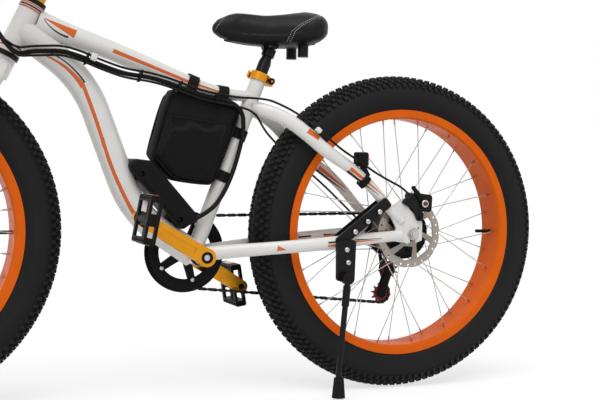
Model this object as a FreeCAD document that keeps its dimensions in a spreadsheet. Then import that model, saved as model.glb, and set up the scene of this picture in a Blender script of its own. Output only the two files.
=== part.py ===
import FreeCAD, Part
import math
import os
import re
import Sketcher

V = FreeCAD.Vector
X = V(1, 0, 0)
Y = V(0, 1, 0)
Z = V(0, 0, 1)

# The bike stands upright on Z = 0 and points along -X; -Y is its left side.
# The origin lies on the ground midway between the wheels.

# Driving dimensions in millimetres, degrees and counts
SIZES = {
    "wheelbase": 1160,
    "tyre_radius": 367,
    "tyre_width": 98,
    "tyre_wall": 4,
    "tread_pitches": 56,
    "knob_height": 5,
    "knob_length": 15,
    "knob_width": 13,
    "tube_wall": 2,
    "tube_gap": 1.8,
    "valve_radius": 4,
    "valve_length": 44,
    "bead_radius": 279.5,
    "rim_radius": 287,
    "rim_width": 86,
    "rim_lip": 2.5,
    "rim_wall": 3,
    "rim_floor_radius": 266,
    "seat_gap": 0.3,
    "running_gap": 0.05,
    "spoke_radius": 1.15,
    "spoke_pairs": 9,
    "nipple_radius": 2.2,
    "nipple_length": 12,
    "nipple_offset": 16,
    "rear_dropout_gap": 170,
    "front_dropout_gap": 136,
    "dropout_wall": 6,
    "rear_axle_radius": 7,
    "front_axle_radius": 5,
    "motor_radius": 55,
    "motor_flange_radius": 61.5,
    "motor_hole_radius": 58,
    "motor_flange_left": 45,
    "motor_flange_right": 28,
    "hub_radius": 16,
    "hub_flange_radius": 32,
    "hub_hole_radius": 28.5,
    "hub_flange_offset": 38,
    "flange_wall": 5,
    "rotor_radius": 80,
    "rotor_wall": 2,
    "rotor_bore": 18,
    "rear_rotor_offset": 72,
    "front_rotor_offset": 55,
    "chain_pitch": 12.7,
    "chain_line": 60,
    "roller_radius": 3.85,
    "roller_width": 2.6,
    "link_wall": 0.9,
    "link_gap": 0.12,
    "link_radius": 4,
    "pin_radius": 1.6,
    "pin_gap": 0.35,
    "tooth_clearance": 0.15,
    "tooth_tip": 3.4,
    "tooth_tip_width": 2,
    "tooth_wall": 2.2,
    "chainring_teeth": 40,
    "driven_teeth": 20,
    "pulley_teeth": 11,
    "sprocket_step": 5,
    "guard_radius": 93,
    "guard_wall": 3,
    "crank_length": 170,
    "crank_angle": 150,
    "crank_wall": 14,
    "crank_face": 100,
    "crank_boss_radius": 20,
    "crank_tip_radius": 15,
    "spindle_radius": 8.5,
    "pedal_axle_radius": 7,
    "pedal_length": 100,
    "pedal_width": 92,
    "pedal_height": 26,
    "pedal_tilt": 80,
    "bracket_x": 80,
    "bracket_z": 318,
    "bracket_width": 100,
    "bracket_radius": 23,
    "cup_radius": 19,
    "seat_tilt": 20.4,
    "seat_tube_length": 428,
    "seat_tube_radius": 17.5,
    "seatpost_radius": 14.3,
    "seatpost_top_radius": 11,
    "seatpost_rise": 64,
    "seatpost_depth": 130,
    "collar_wall": 4,
    "collar_height": 18,
    "head_top_x": -278.5,
    "head_top_z": 838,
    "steer_tilt": 26,
    "head_length": 112,
    "head_radius": 24,
    "headset_height": 10,
    "steerer_radius": 14.3,
    "spacer_height": 20,
    "stem_length": 75,
    "stem_height": 42,
    "bar_radius": 11,
    "bar_width": 680,
    "bar_rise": 25,
    "bar_sweep": 25,
    "lever_drop": 20,
    "grip_length": 112,
    "grip_radius": 16,
    "fork_leg_radius": 16,
    "fork_leg_offset": 74,
    "crown_drop": 20,
    "down_depth": 60,
    "down_width": 54,
    "bag_width": 56,
    "bag_wall": 3,
    "strap_wall": 1.6,
    "strap_width": 22,
    "case_width": 84,
    "loom_radius": 5,
    "cable_radius": 2.5,
    "rail_radius": 3.5,
    "stand_offset": 120,
    "stand_clearance": 4,
    "stand_leg_radius": 6.5,
    "stand_pin_radius": 5,
    "eyelet_radius": 2.5,
}

doc = FreeCAD.newDocument("fat_bike")
sheet = doc.addObject("Spreadsheet::Sheet", "Sizes")
for row, (alias, number) in enumerate(SIZES.items(), 1):
    sheet.set(f"A{row}", alias)
    sheet.set(f"B{row}", str(number))
    sheet.setAlias(f"B{row}", alias)
doc.recompute()

NODES = {}


def bound(text):
    """An expression in the sheet's names, written the way an object reads the sheet."""
    return re.sub(r"[a-z_]{3,}", lambda w: f"Sizes.{w[0]}" if w[0] in SIZES else w[0], str(text))


def size(text):
    """The value of an expression in the sheet's names."""
    return float(sheet.evalExpression(bound(text)))


def polar(radius, angle):
    """A point of the XZ plane at a radius and an angle in radians."""
    return V(radius * math.cos(angle), 0, radius * math.sin(angle))


def node(label, item):
    """Name a document object as one sub-part of the bike."""
    item.Label = label
    NODES[label] = item
    return item


def feature(label, shape):
    """A sub-part whose shape comes from sweeps, lofts or arrays."""
    item = doc.addObject("Part::Feature", label)
    item.Shape = shape
    return node(label, item)


def origin_plane(body, role):
    return next(item for item in body.Origin.OriginFeatures if item.Role == role)


def fix_point(sketch, geometry, corner, place):
    """Tie a sketch point to the origin by two distances bound to the sheet."""
    for kind, axis, text in (("DistanceX", -2, place[0]), ("DistanceY", -1, place[1])):
        number = size(text)
        if abs(number) < 1e-9:
            sketch.addConstraint(Sketcher.Constraint("PointOnObject", geometry, corner, axis))
            continue
        held = sketch.addConstraint(Sketcher.Constraint(kind, -1, 1, geometry, corner, number))
        sketch.setExpression(f"Constraints[{held}]", bound(text))


def draw_polygon(sketch, corners):
    flat = [V(size(a), size(b), 0) for a, b in corners]
    lines = []
    for start, end in zip(flat, flat[1:] + flat[:1]):
        lines.append(sketch.addGeometry(Part.LineSegment(start, end), False))
    for line, following in zip(lines, lines[1:] + lines[:1]):
        sketch.addConstraint(Sketcher.Constraint("Coincident", line, 2, following, 1))
    for line, place in zip(lines, corners):
        fix_point(sketch, line, 1, place)


def draw_circle(sketch, a, b, radius):
    ring = sketch.addGeometry(Part.Circle(V(size(a), size(b), 0), Z, size(radius)), False)
    held = sketch.addConstraint(Sketcher.Constraint("Radius", ring, size(radius)))
    sketch.setExpression(f"Constraints[{held}]", bound(radius))
    fix_point(sketch, ring, 3, (a, b))


def new_sketch(body, name, role, loops):
    """A sketch on one of the body's own planes: polygons as lists, circles as triples."""
    sketch = body.newObject("Sketcher::SketchObject", name)
    sketch.AttachmentSupport = [(origin_plane(body, role), "")]
    sketch.MapMode = "FlatFace"
    for loop in loops:
        if isinstance(loop, tuple):
            draw_circle(sketch, *loop)
        else:
            draw_polygon(sketch, loop)
    return sketch


def turned(label, profile, centre):
    """A body turned about the Y axis from corners of radius and distance along the axis."""
    body = doc.addObject("PartDesign::Body", label)
    sketch = new_sketch(body, label + "_profile", "XY_Plane", [profile])
    spin = body.newObject("PartDesign::Revolution", label + "_turn")
    spin.Profile = sketch
    spin.ReferenceAxis = (sketch, ["V_Axis"])
    spin.Angle = 360
    doc.recompute()
    body.Placement = FreeCAD.Placement(centre, FreeCAD.Rotation())
    return body


def plate(label, loops, wall, centre):
    """A body cut from flat plate lying in XZ, with its middle plane at the centre."""
    body = doc.addObject("PartDesign::Body", label)
    sketch = new_sketch(body, label + "_outline", "XZ_Plane", loops)
    pad = body.newObject("PartDesign::Pad", label + "_pad")
    pad.Profile = sketch
    pad.SideType = "Symmetric"
    pad.setExpression("Length", bound(wall))
    doc.recompute()
    body.Placement = FreeCAD.Placement(centre, FreeCAD.Rotation())
    return body


def cut_round(body, name, loop, count):
    """A pocket right through a plate, repeated about its centre."""
    sketch = new_sketch(body, name + "_outline", "XZ_Plane", [loop])
    pocket = body.newObject("PartDesign::Pocket", name)
    pocket.Profile = sketch
    pocket.Type = "ThroughAll"
    pocket.SideType = "Symmetric"
    doc.recompute()
    ring = body.newObject("PartDesign::PolarPattern", name + "_ring")
    ring.Originals = [pocket]
    ring.Axis = (sketch, ["N_Axis"])
    ring.Angle = 360
    ring.Occurrences = count
    body.Tip = ring
    doc.recompute()


def rod(start, end, radius):
    return Part.makeCylinder(radius, (end - start).Length, start, end - start)


def hexagon(centre, across, start, end):
    """A hexagonal nut along Y between two distances."""
    ring = [polar(across / math.sqrt(3), math.radians(60 * k)) for k in range(7)]
    face = Part.Face(Part.makePolygon(ring))
    face.translate(V(centre.x, start, centre.z))
    return face.extrude(Y * (end - start))


def six_sided(start, end, radius):
    """A thin bar with six flats between two points."""
    along = (end - start).normalize()
    side = along.cross(Y).normalize() * radius
    ring = []
    for k in range(7):
        spot = V(side)
        ring.append(start + FreeCAD.Rotation(along, 60 * k).multVec(spot))
    return Part.Face(Part.makePolygon(ring)).extrude(end - start)


def bent_wire(points):
    """Straight runs joined by tangent arcs, each as large as its two runs allow."""
    edges = []
    start = points[0]
    for before, corner, after in zip(points, points[1:], points[2:]):
        setback = 0.45 * min((corner - before).Length, (after - corner).Length)
        back = (before - corner).normalize()
        ahead = (after - corner).normalize()
        half = back.getAngle(ahead) / 2
        inside = (back + ahead).normalize()
        middle = corner + inside * (setback / math.cos(half) - setback * math.tan(half))
        first = corner + back * setback
        last = corner + ahead * setback
        edges.append(Part.LineSegment(start, first).toShape())
        edges.append(Part.Arc(first, middle, last).toShape())
        start = last
    edges.append(Part.LineSegment(start, points[-1]).toShape())
    return Part.Wire(edges)


def least_radius(wire):
    return min(edge.Curve.Radius for edge in wire.Edges if hasattr(edge.Curve, "Radius"))


def tube(points, radius):
    """A round bar, tube or cable along bent runs."""
    wire = bent_wire(points)
    section = Part.Wire(Part.Circle(points[0], points[1] - points[0], radius).toShape())
    solid = wire.makePipeShell([section], True, False)
    print(f"route {wire.Length:.0f} mm, least radius {least_radius(wire):.0f} mm, "
          f"volume ratio {solid.Volume / (math.pi * radius ** 2 * wire.Length):.4f}")
    return solid


def oval(centre, ahead, depth, width):
    """An oval section square to a direction: depth in the XZ plane, width across it."""
    along = V(ahead).normalize()
    side = along.cross(Z).normalize()
    up = side.cross(along)
    tall = centre + up * (depth / 2)
    wide = centre + side * (width / 2)
    ends = (tall, wide) if depth >= width else (wide, tall)
    return Part.Wire(Part.Ellipse(*ends, centre).toShape())


def lofted_tube(stations):
    """A hydroformed tube through oval stations of point, depth and width."""
    places = [V(*station[:3]) for station in stations]
    sections = []
    for k, (place, station) in enumerate(zip(places, stations)):
        ahead = places[min(k + 1, len(places) - 1)] - places[max(k - 1, 0)]
        sections.append(oval(place, ahead, station[3], station[4]))
    return Part.makeLoft(sections, True, False)


def rounded_face(corners, radius):
    """A flat outline in XZ with its corners rounded."""
    points = [V(a, 0, b) for a, b in corners]
    edges = []
    ends = []
    for before, corner, after in zip(points[-1:] + points[:-1], points, points[1:] + points[:1]):
        back = (before - corner).normalize()
        ahead = (after - corner).normalize()
        half = back.getAngle(ahead) / 2
        setback = radius / math.tan(half)
        inside = (back + ahead).normalize()
        middle = corner + inside * (radius / math.sin(half) - radius)
        ends.append((corner + back * setback, middle, corner + ahead * setback))
    for (first, middle, last), following in zip(ends, ends[1:] + ends[:1]):
        edges.append(Part.Arc(first, middle, last).toShape())
        edges.append(Part.LineSegment(last, following[0]).toShape())
    return Part.Face(Part.Wire(edges))


def slab(face, start, end):
    """A flat face of the XZ plane made solid between two distances along Y."""
    moved = face.copy()
    moved.translate(Y * start)
    return moved.extrude(Y * (end - start))


def mirrored(shape):
    """The same piece on the other side of the bike."""
    return shape.mirror(V(0, 0, 0), Y)


def turned_about(shape, centre, axis, degrees):
    copy = shape.copy()
    copy.rotate(centre, axis, degrees)
    return copy


def group(solids):
    return Part.makeCompound(solids)


# Reference points and directions
REAR = V(size("wheelbase / 2"), 0, size("tyre_radius"))
FRONT = V(size("-wheelbase / 2"), 0, size("tyre_radius"))
BRACKET = V(size("bracket_x"), 0, size("bracket_z"))
STEER_UP = V(math.sin(math.radians(size("steer_tilt"))), 0, math.cos(math.radians(size("steer_tilt"))))
STEER_FORE = V(-STEER_UP.z, 0, STEER_UP.x)
SEAT_UP = V(math.sin(math.radians(size("seat_tilt"))), 0, math.cos(math.radians(size("seat_tilt"))))
SEAT_BACK = V(SEAT_UP.z, 0, -SEAT_UP.x)
SEAT_TOP = BRACKET + SEAT_UP * size("seat_tube_length")
GAP = size("seat_gap")
RUN = size("running_gap")


def on_steer(distance):
    """A point of the steering axis, measured up from the top of the head tube."""
    return V(size("head_top_x"), 0, size("head_top_z")) + STEER_UP * distance


def on_seat(distance, back=0, right=0):
    """A point near the seat tube's top, in the seat tube's own directions."""
    return SEAT_TOP + SEAT_UP * distance + SEAT_BACK * back + Y * right


# Wheels


def make_rim(label, centre):
    half = "rim_width / 2"
    inner = f"{half} - rim_lip"
    floor = "rim_floor_radius + rim_wall"
    right = [
        (floor, f"{half} - 16"),
        ("bead_radius", f"{half} - 11"),
        ("bead_radius", inner),
        ("rim_radius", inner),
        ("rim_radius", half),
        ("rim_floor_radius + 4", half),
        ("rim_floor_radius", f"{half} - 6"),
    ]
    left = [(radius, f"-({place})") for radius, place in reversed(right)]
    body = turned(label, right + left, centre)
    sketch = new_sketch(body, label + "_valve", "YZ_Plane", [("0", "0", "valve_radius + seat_gap")])
    hole = body.newObject("PartDesign::Pocket", label + "_valve_hole")
    hole.Profile = sketch
    hole.setExpression("Length", bound("rim_radius"))
    hole.Reversed = True
    whole = body.Shape.Volume
    doc.recompute()
    if body.Shape.Volume > whole - 1:
        raise ValueError(f"{label} has no valve hole")
    return node(label, body)


def tyre_section(inset):
    """Corners and arc middles of the tyre's half section, moved in by a distance."""
    crown = size("tyre_radius - knob_height")
    flank = size("tyre_width / 2 - 0.3")
    heel = size("rim_width / 2 - rim_lip") - GAP
    bead = (size("bead_radius") + GAP) / math.cos(math.pi / size("tread_pitches"))
    return {
        "heel": (bead, heel),
        "toe": (bead, heel - size("tyre_wall") * 2),
        "lip": (size("rim_radius") + 1 + inset * 0.2, heel - inset),
        "flank": (0.5 * (crown + size("rim_radius")) - 4, flank - inset),
        "shoulder": (crown - 15 - inset * 0.6, flank * 0.78 - inset * 0.7),
        "crown": (crown - inset, 0),
    }


def at(point, side):
    return V(point[0], side * point[1], 0)


def tyre_skin(section):
    """One open arc line from lip to lip over the crown."""
    edges = []
    for side in (-1, 1):
        edges.append(Part.Arc(*(at(section[name], side) for name in ("lip", "flank", "shoulder"))).toShape())
    crown = Part.Arc(at(section["shoulder"], -1), at(section["crown"], 1), at(section["shoulder"], 1))
    return [edges[0], crown.toShape(), edges[1]]


def tyre_flats(section, wall_steps, crown_steps):
    """The same line as corners, evenly spaced on its three arcs, from left to right."""
    left, crown, right = tyre_skin(section)
    corners = left.discretize(wall_steps + 1)[:-1]
    corners += crown.discretize(crown_steps + 1)
    corners += list(reversed(right.discretize(wall_steps + 1)))[1:]
    return corners


def frustum(length, width, height):
    """A tread knob that narrows upwards, standing on the XY plane's origin along +X."""
    narrow = 1.2
    block = Part.makeWedge(
        -length / 2, 0, -width / 2, -width / 2 + narrow, -length / 2 + narrow,
        length / 2, height, width / 2, width / 2 - narrow, length / 2 - narrow)
    block.rotate(V(0, 0, 0), Z, -90)
    block.rotate(V(0, 0, 0), X, 90)
    return block


def tread_knobs(angle):
    """The six knobs of one pitch of the tread, staggered across the crown."""
    sunk = 2
    crown = size("tyre_radius - knob_height")
    early = angle / 4
    late = 3 * angle / 4
    shoulder = tyre_section(0)["shoulder"]
    row = size("tyre_width") * 0.1
    rows = [
        (crown - 0.4, row, 0, early),
        (crown - 0.4, -row, 0, late),
        (crown - 4.6, row * 2.75, 19, late),
        (crown - 4.6, -row * 2.75, -19, early),
        (shoulder[0] - 1.5, shoulder[1] + 1.5, 52, early),
        (shoulder[0] - 1.5, -shoulder[1] - 1.5, -52, late),
    ]
    knobs = []
    for radius, across, lean, turn in rows:
        knob = frustum(size("knob_width"), size("knob_length"), size("knob_height") + sunk)
        knob.translate(X * -sunk)
        knob.rotate(V(0, 0, 0), Z, lean)
        knob.translate(V(radius, across, 0))
        knob.rotate(V(0, 0, 0), Y, -turn)
        knobs.append(knob)
    return knobs


def make_tyre(label, centre):
    """The carcass and tread of one pitch, repeated round the wheel and closed to one solid."""
    outer = tyre_section(0)
    inner = tyre_section(size("tyre_wall"))
    corners = tyre_flats(outer, 4, 6)
    corners += [at(outer["heel"], 1), at(outer["toe"], 1)]
    corners += list(reversed(tyre_flats(inner, 3, 4)))
    corners += [at(outer["toe"], -1), at(outer["heel"], -1)]
    count = int(size("tread_pitches"))
    angle = 360 / count
    turn = FreeCAD.Rotation(Y, -angle)
    flats = []
    for a, b in zip(corners, corners[1:] + corners[:1]):
        flats.append(Part.Face(Part.makePolygon([a, b, turn.multVec(b), turn.multVec(a), a])))
    ends = [Part.Face(Part.makePolygon(corners + corners[:1]))]
    ends.append(turned_about(ends[0], V(0, 0, 0), Y, -angle))
    sector = Part.Solid(Part.Shell(flats + ends))
    if sector.Volume < 0:
        sector.reverse()
    sector = sector.multiFuse(tread_knobs(angle)).removeSplitter()
    normals = [Z, turn.multVec(Z)]
    walls = []
    for wall in sector.Faces:
        if any(all(abs(corner.Point.dot(normal)) < 1e-4 for corner in wall.Vertexes) for normal in normals):
            continue
        walls.append(wall)
    copies = [turned_about(wall, V(0, 0, 0), Y, -angle * k) for k in range(count) for wall in walls]
    shell = Part.makeCompound(copies)
    shell.sewShape(0.001)
    solid = Part.Solid(shell.Shells[0])
    if solid.Volume < 0:
        solid.reverse()
    solid.translate(centre)
    return feature(label, solid)


def make_inner_tube(label, centre):
    """A thin tube that fills the tyre, with its valve through the rim."""
    gap = size("tyre_wall + tube_gap")

    def filled(inset):
        section = tyre_section(gap + inset)
        floor = size("rim_floor_radius + rim_wall") + GAP + inset
        width = size("rim_width / 2") - 18 - inset
        edges = tyre_skin(section)
        for side in (-1, 1):
            lip = at(section["lip"], side)
            neck = V(size("bead_radius"), side * (size("rim_width / 2 - tyre_wall * 3") - 1 - inset), 0)
            foot = V(floor, side * width, 0)
            edges += [Part.LineSegment(lip, neck).toShape(), Part.LineSegment(neck, foot).toShape()]
        edges.append(Part.LineSegment(V(floor, -width, 0), V(floor, width, 0)).toShape())
        return Part.Face(Part.Wire(Part.__sortEdges__(edges))).revolve(V(0, 0, 0), Y, 360)

    wall = size("tube_wall")
    floor = size("rim_floor_radius + rim_wall") + GAP
    valve = rod(X * (floor + wall / 2), X * (floor - size("valve_length")), size("valve_radius"))
    solid = filled(0).cut(filled(wall)).fuse(valve)
    solid.translate(centre)
    return feature(label, solid)


def make_spokes(label, centre, hole_radius, flanges, cross):
    """Crossed spokes from both hub flanges to the rim, each with its nipple."""
    step = 180 / size("spoke_pairs")
    radius = size("spoke_radius")
    top = size("rim_floor_radius") - 0.5
    solids = []
    for side, (place, outward) in enumerate(flanges):
        for k in range(int(size("spoke_pairs")) * 2):
            start_angle = math.radians(step * (k + 0.5 * side))
            trailing = k % 2 == 0
            end_angle = start_angle + math.radians(cross if trailing else -cross)
            clear = size("flange_wall") / 2 + radius + (0.1 if trailing else 0.8)
            start = polar(hole_radius, start_angle) + Y * (place + outward * (-clear if trailing else clear))
            end = polar(top, end_angle) + Y * (outward * size("nipple_offset"))
            joint = end + (start - end).normalize() * size("nipple_length")
            solids.append(six_sided(start, joint, radius))
            solids.append(six_sided(joint, end, size("nipple_radius")))
    shape = group(solids)
    shape.translate(centre)
    return feature(label, shape)


def make_rotor(label, centre, offset):
    """A wave edged brake disc with slanted arms, cooling holes and six bolt holes."""
    body = plate(label, [("0", "0", "rotor_radius"), ("0", "0", "rotor_bore")], "rotor_wall",
                 centre - Y * offset)
    window = [
        ("30 + 2", "4"),
        ("rotor_radius - 18", "-9"),
        ("rotor_radius - 21", "24"),
        ("rotor_radius - 31", "37"),
        ("22", "25"),
    ]
    cut_round(body, label + "_window", window, 6)
    cut_round(body, label + "_hole", ("rotor_radius - 6.5", "0", "2.6"), 24)
    cut_round(body, label + "_wave", ("rotor_radius + 16", "0", "18"), 12)
    cut_round(body, label + "_bolt", ("22 * cos(15)", "22 * sin(15)", "2.6"), 6)
    return node(label, body)


def make_hub_motor():
    """The motor shell: two spoke flanges, end covers and the rotor boss."""
    disc = "rear_rotor_offset - rotor_wall / 2"
    left = "motor_flange_left"
    right = "motor_flange_right"
    half = "flange_wall / 2"
    bore = "rear_axle_radius + running_gap"
    profile = [
        (bore, f"-({disc} + rotor_wall)"),
        ("rotor_bore - running_gap", f"-({disc} + rotor_wall)"),
        ("rotor_bore - running_gap", f"-({disc})"),
        ("28", f"-({disc})"),
        ("28", f"-({left} + 12)"),
        ("motor_radius - 6", f"-({left} + 9)"),
        ("motor_radius - 1", f"-({left} + {half})"),
        ("motor_flange_radius", f"-({left} + {half})"),
        ("motor_flange_radius", f"-({left} - {half})"),
        ("motor_radius", f"-({left} - {half})"),
        ("motor_radius", f"{right} - {half}"),
        ("motor_flange_radius", f"{right} - {half}"),
        ("motor_flange_radius", f"{right} + {half}"),
        ("motor_radius - 8", f"{right} + {half}"),
        ("motor_radius - 14", f"{right} + 8"),
        (bore, f"{right} + 8"),
    ]
    return node("hub_motor", turned("hub_motor", profile, REAR))


def make_front_hub():
    disc = "front_rotor_offset - rotor_wall / 2"
    flange = "hub_flange_offset"
    half = "flange_wall / 2"
    bore = "front_axle_radius + running_gap"
    end = "front_dropout_gap / 2 - 6.4"
    profile = [
        (bore, f"-({end})"),
        ("12", f"-({end})"),
        ("rotor_bore - running_gap", f"-({disc} + rotor_wall)"),
        ("rotor_bore - running_gap", f"-({disc})"),
        ("27", f"-({disc})"),
        ("27", f"-({flange} + {half})"),
        ("hub_flange_radius", f"-({flange} + {half})"),
        ("hub_flange_radius", f"-({flange} - {half})"),
        ("hub_radius + 4", f"-({flange} - {half})"),
        ("hub_radius", "0"),
        ("hub_radius + 4", f"{flange} - {half}"),
        ("hub_flange_radius", f"{flange} - {half}"),
        ("hub_flange_radius", f"{flange} + {half}"),
        ("hub_radius + 4", f"{flange} + {half}"),
        ("12", end),
        (bore, end),
    ]
    return node("front_hub", turned("front_hub", profile, FRONT))


def make_axle(label, centre, radius, gap, left_end, right_end):
    """A threaded axle with locknut collars inside the dropouts and hexagonal nuts outside."""
    inside = gap / 2
    outside = inside + size("dropout_wall")
    nut = 10
    shaft = rod(centre - Y * (outside + nut + 2), centre + Y * (outside + nut + 2), radius)
    collars = [
        rod(centre - Y * inside, centre - Y * left_end, radius + 5),
        rod(centre + Y * right_end, centre + Y * inside, radius + 5),
    ]
    hole = rod(centre - Y * 200, centre + Y * 200, radius + RUN)
    nuts = [
        hexagon(centre, radius * 2.7, -outside - nut, -outside).cut(hole),
        hexagon(centre, radius * 2.7, outside, outside + nut).cut(hole),
    ]
    return feature(label, group([shaft.multiFuse(collars)] + nuts))


# Drive


def pitch_radius(teeth):
    return size("chain_pitch") / 2 / math.sin(math.pi / teeth)


def toothed_face(teeth, phase):
    """A sprocket outline with a roller seat at the phase angle."""
    seat = size("roller_radius + tooth_clearance")
    reach = pitch_radius(teeth)
    tip = reach + size("tooth_tip")
    half_tip = size("tooth_tip_width") / 2 / tip
    wide = seat * math.cos(math.radians(10))
    deep = seat * math.sin(math.radians(10))
    edges = []

    def seat_end(angle, side):
        out = polar(1, angle)
        return out * (reach - deep) + V(-out.z, 0, out.x) * (side * wide)

    for k in range(teeth):
        angle = phase + 2 * math.pi * k / teeth
        middle = angle + math.pi / teeth
        following = angle + 2 * math.pi / teeth
        stops = [seat_end(angle, 1), polar(tip, middle - half_tip), polar(tip, middle + half_tip),
                 seat_end(following, -1)]
        edges.append(Part.Arc(seat_end(angle, -1), polar(reach - seat, angle), stops[0]).toShape())
        edges += [Part.LineSegment(a, b).toShape() for a, b in zip(stops, stops[1:])]
    return Part.Face(Part.Wire(edges))


def tangent_run(first, second):
    """Where a chain leaves one wheel and meets the next, and its direction there."""
    (c1, r1, s1), (c2, r2, s2) = first, second
    across = c2 - c1
    heading = math.atan2(across.z, across.x) + math.asin((s1 * r1 - s2 * r2) / across.Length)
    normal = V(-math.sin(heading), 0, math.cos(heading))
    return c1 - normal * (s1 * r1), c2 - normal * (s2 * r2), heading


GUIDE = V(598, 0, 271)
CAGE_LENGTH = 62


def chain_wheels(cage_angle):
    """Centres, teeth and senses of the four chain wheels, in the order the chain runs."""
    tension = GUIDE + polar(CAGE_LENGTH, cage_angle)
    counts = [int(size(name)) for name in ("chainring_teeth", "driven_teeth", "pulley_teeth", "pulley_teeth")]
    return list(zip((BRACKET, REAR, GUIDE, tension), counts, (-1, -1, 1, -1)))


def chain_course(wheels):
    """The straight runs and wraps of the chain, each with its length in links."""
    circles = [(centre, pitch_radius(teeth), sense) for centre, teeth, sense in wheels]
    runs = [tangent_run(a, b) for a, b in zip(circles, circles[1:] + circles[:1])]
    course = []
    for k, (start, end, heading) in enumerate(runs):
        course.append(("run", start, end, (end - start).Length / size("chain_pitch")))
        after = (k + 1) % len(wheels)
        centre, teeth, sense = wheels[after]
        turn = (sense * (runs[after][2] - heading)) % (2 * math.pi)
        begin = math.atan2(end.z - centre.z, end.x - centre.x)
        course.append(("wrap", centre, begin, turn * teeth / 2 / math.pi, teeth, sense))
    return course


def chain_links(angle):
    return sum(piece[3] for piece in chain_course(chain_wheels(angle)))


def settle_cage():
    """The cage angle at which a whole, even number of links fits the course."""
    low, high = math.radians(225), math.radians(285)
    count = 2 * round(chain_links(math.radians(258)) / 2)
    rising = chain_links(high) > chain_links(low)
    for _ in range(60):
        middle = (low + high) / 2
        if (chain_links(middle) > count) == rising:
            high = middle
        else:
            low = middle
    return low, count


CAGE_ANGLE, LINK_COUNT = settle_cage()
WHEELS = chain_wheels(CAGE_ANGLE)
TENSION = WHEELS[3][0]


def roller_places():
    """The centre of each roller, one link apart along the course."""
    course = chain_course(WHEELS)
    places = []
    for k in range(LINK_COUNT):
        rest = k + 0.25
        for piece in course:
            if rest <= piece[3]:
                break
            rest -= piece[3]
        if piece[0] == "run":
            places.append(piece[1] + (piece[2] - piece[1]) * (rest / piece[3]))
        else:
            angle = piece[2] + piece[5] * rest * 2 * math.pi / piece[4]
            places.append(piece[1] + polar(pitch_radius(piece[4]), angle))
    return places


ROLLERS = roller_places()


def wheel_phase(index):
    """The angle of a roller that lies on the wheel, so that its teeth mesh."""
    centre, teeth, _ = WHEELS[index]
    reach = pitch_radius(teeth)
    seated = min(ROLLERS, key=lambda place: abs((place - centre).Length - reach))
    return math.atan2(seated.z - centre.z, seated.x - centre.x)


def eight_sided(radius):
    """Corners of a small round part, as eight flats in XZ."""
    return [polar(radius, math.radians(22.5 + 45 * k)) for k in range(8)]


def prism(corners, start, end):
    """A straight bar along Y with the given corners."""
    face = Part.Face(Part.makePolygon(corners + corners[:1]))
    return slab(face, start, end)


def link_plate(start, wall):
    """One side plate of a link, two rounded ends a pitch apart along X."""
    half = X * size("chain_pitch / 2")
    round_end = eight_sided(size("link_radius"))
    right = [corner + half for corner in round_end if corner.x > 0]
    left = [corner - half for corner in round_end if corner.x < 0]
    corners = sorted(right, key=lambda c: c.z) + sorted(left, key=lambda c: -c.z)
    return prism(corners, start, start + wall)


def make_link(inner):
    """Two side plates with either two hollow rollers or two solid pins."""
    wall = size("link_wall")
    start = size("roller_width / 2") + (0 if inner else wall + size("link_gap"))
    plates = [link_plate(start, wall), link_plate(-start - wall, wall)]
    half = X * size("chain_pitch / 2")
    reach = start + wall
    ends = [half, half * -1]

    def bars(radius, length):
        return [prism([corner + end for corner in eight_sided(size(radius))], -length, length) for end in ends]

    if inner:
        rollers = bars("roller_radius", reach)
        return plates[0].multiFuse(plates[1:] + rollers).cut(group(bars("pin_radius + pin_gap", reach * 2)))
    return plates[0].multiFuse(plates[1:] + bars("pin_radius", reach)).removeSplitter()


def make_chain():
    kinds = [make_link(True), make_link(False)]
    solids = []
    for k, (place, following) in enumerate(zip(ROLLERS, ROLLERS[1:] + ROLLERS[:1])):
        link = kinds[k % 2].copy()
        heading = math.degrees(math.atan2(following.z - place.z, following.x - place.x))
        link.rotate(V(0, 0, 0), Y, -heading)
        link.translate((place + following) * 0.5 + Y * size("chain_line"))
        solids.append(link)
    print(f"chain of {LINK_COUNT} links, cage at {math.degrees(CAGE_ANGLE):.1f} degrees")
    return feature("chain", group(solids))


def make_freewheel():
    """Seven sprockets on a hollow core that turns on the axle, the driven one in line with the chain."""
    teeth = [28, 24, 22, int(size("driven_teeth")), 18, 16, 14]
    wall = size("tooth_wall")
    core_radius = pitch_radius(teeth[-1]) - size("roller_radius") - 0.6
    first = size("motor_flange_right") + 8 + GAP
    last = size("chain_line + sprocket_step * 3 + 2")
    solid = rod(REAR + Y * first, REAR + Y * last, core_radius)
    discs = []
    for k, count in enumerate(teeth):
        face = toothed_face(count, wheel_phase(1))
        face.translate(REAR)
        place = size("chain_line") + (k - 3) * size("sprocket_step")
        discs.append(slab(face, place - wall / 2, place + wall / 2))
    bore = rod(REAR, REAR + Y * 200, size("rear_axle_radius") + RUN)
    return feature("freewheel", solid.multiFuse(discs).cut(bore))


def make_pulley(label, index):
    centre, teeth, _ = WHEELS[index]
    line = size("chain_line")
    wall = size("tooth_wall")
    face = toothed_face(teeth, wheel_phase(index))
    face.translate(centre)
    disc = slab(face, line - wall / 2, line + wall / 2)
    hub = rod(centre + Y * (line - 5), centre + Y * (line + 5), 8)
    bore = rod(centre, centre + Y * 200, 2.5 + RUN)
    return feature(label, disc.fuse(hub).cut(bore))


HANGER = REAR + V(14, 0, -29)


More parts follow.
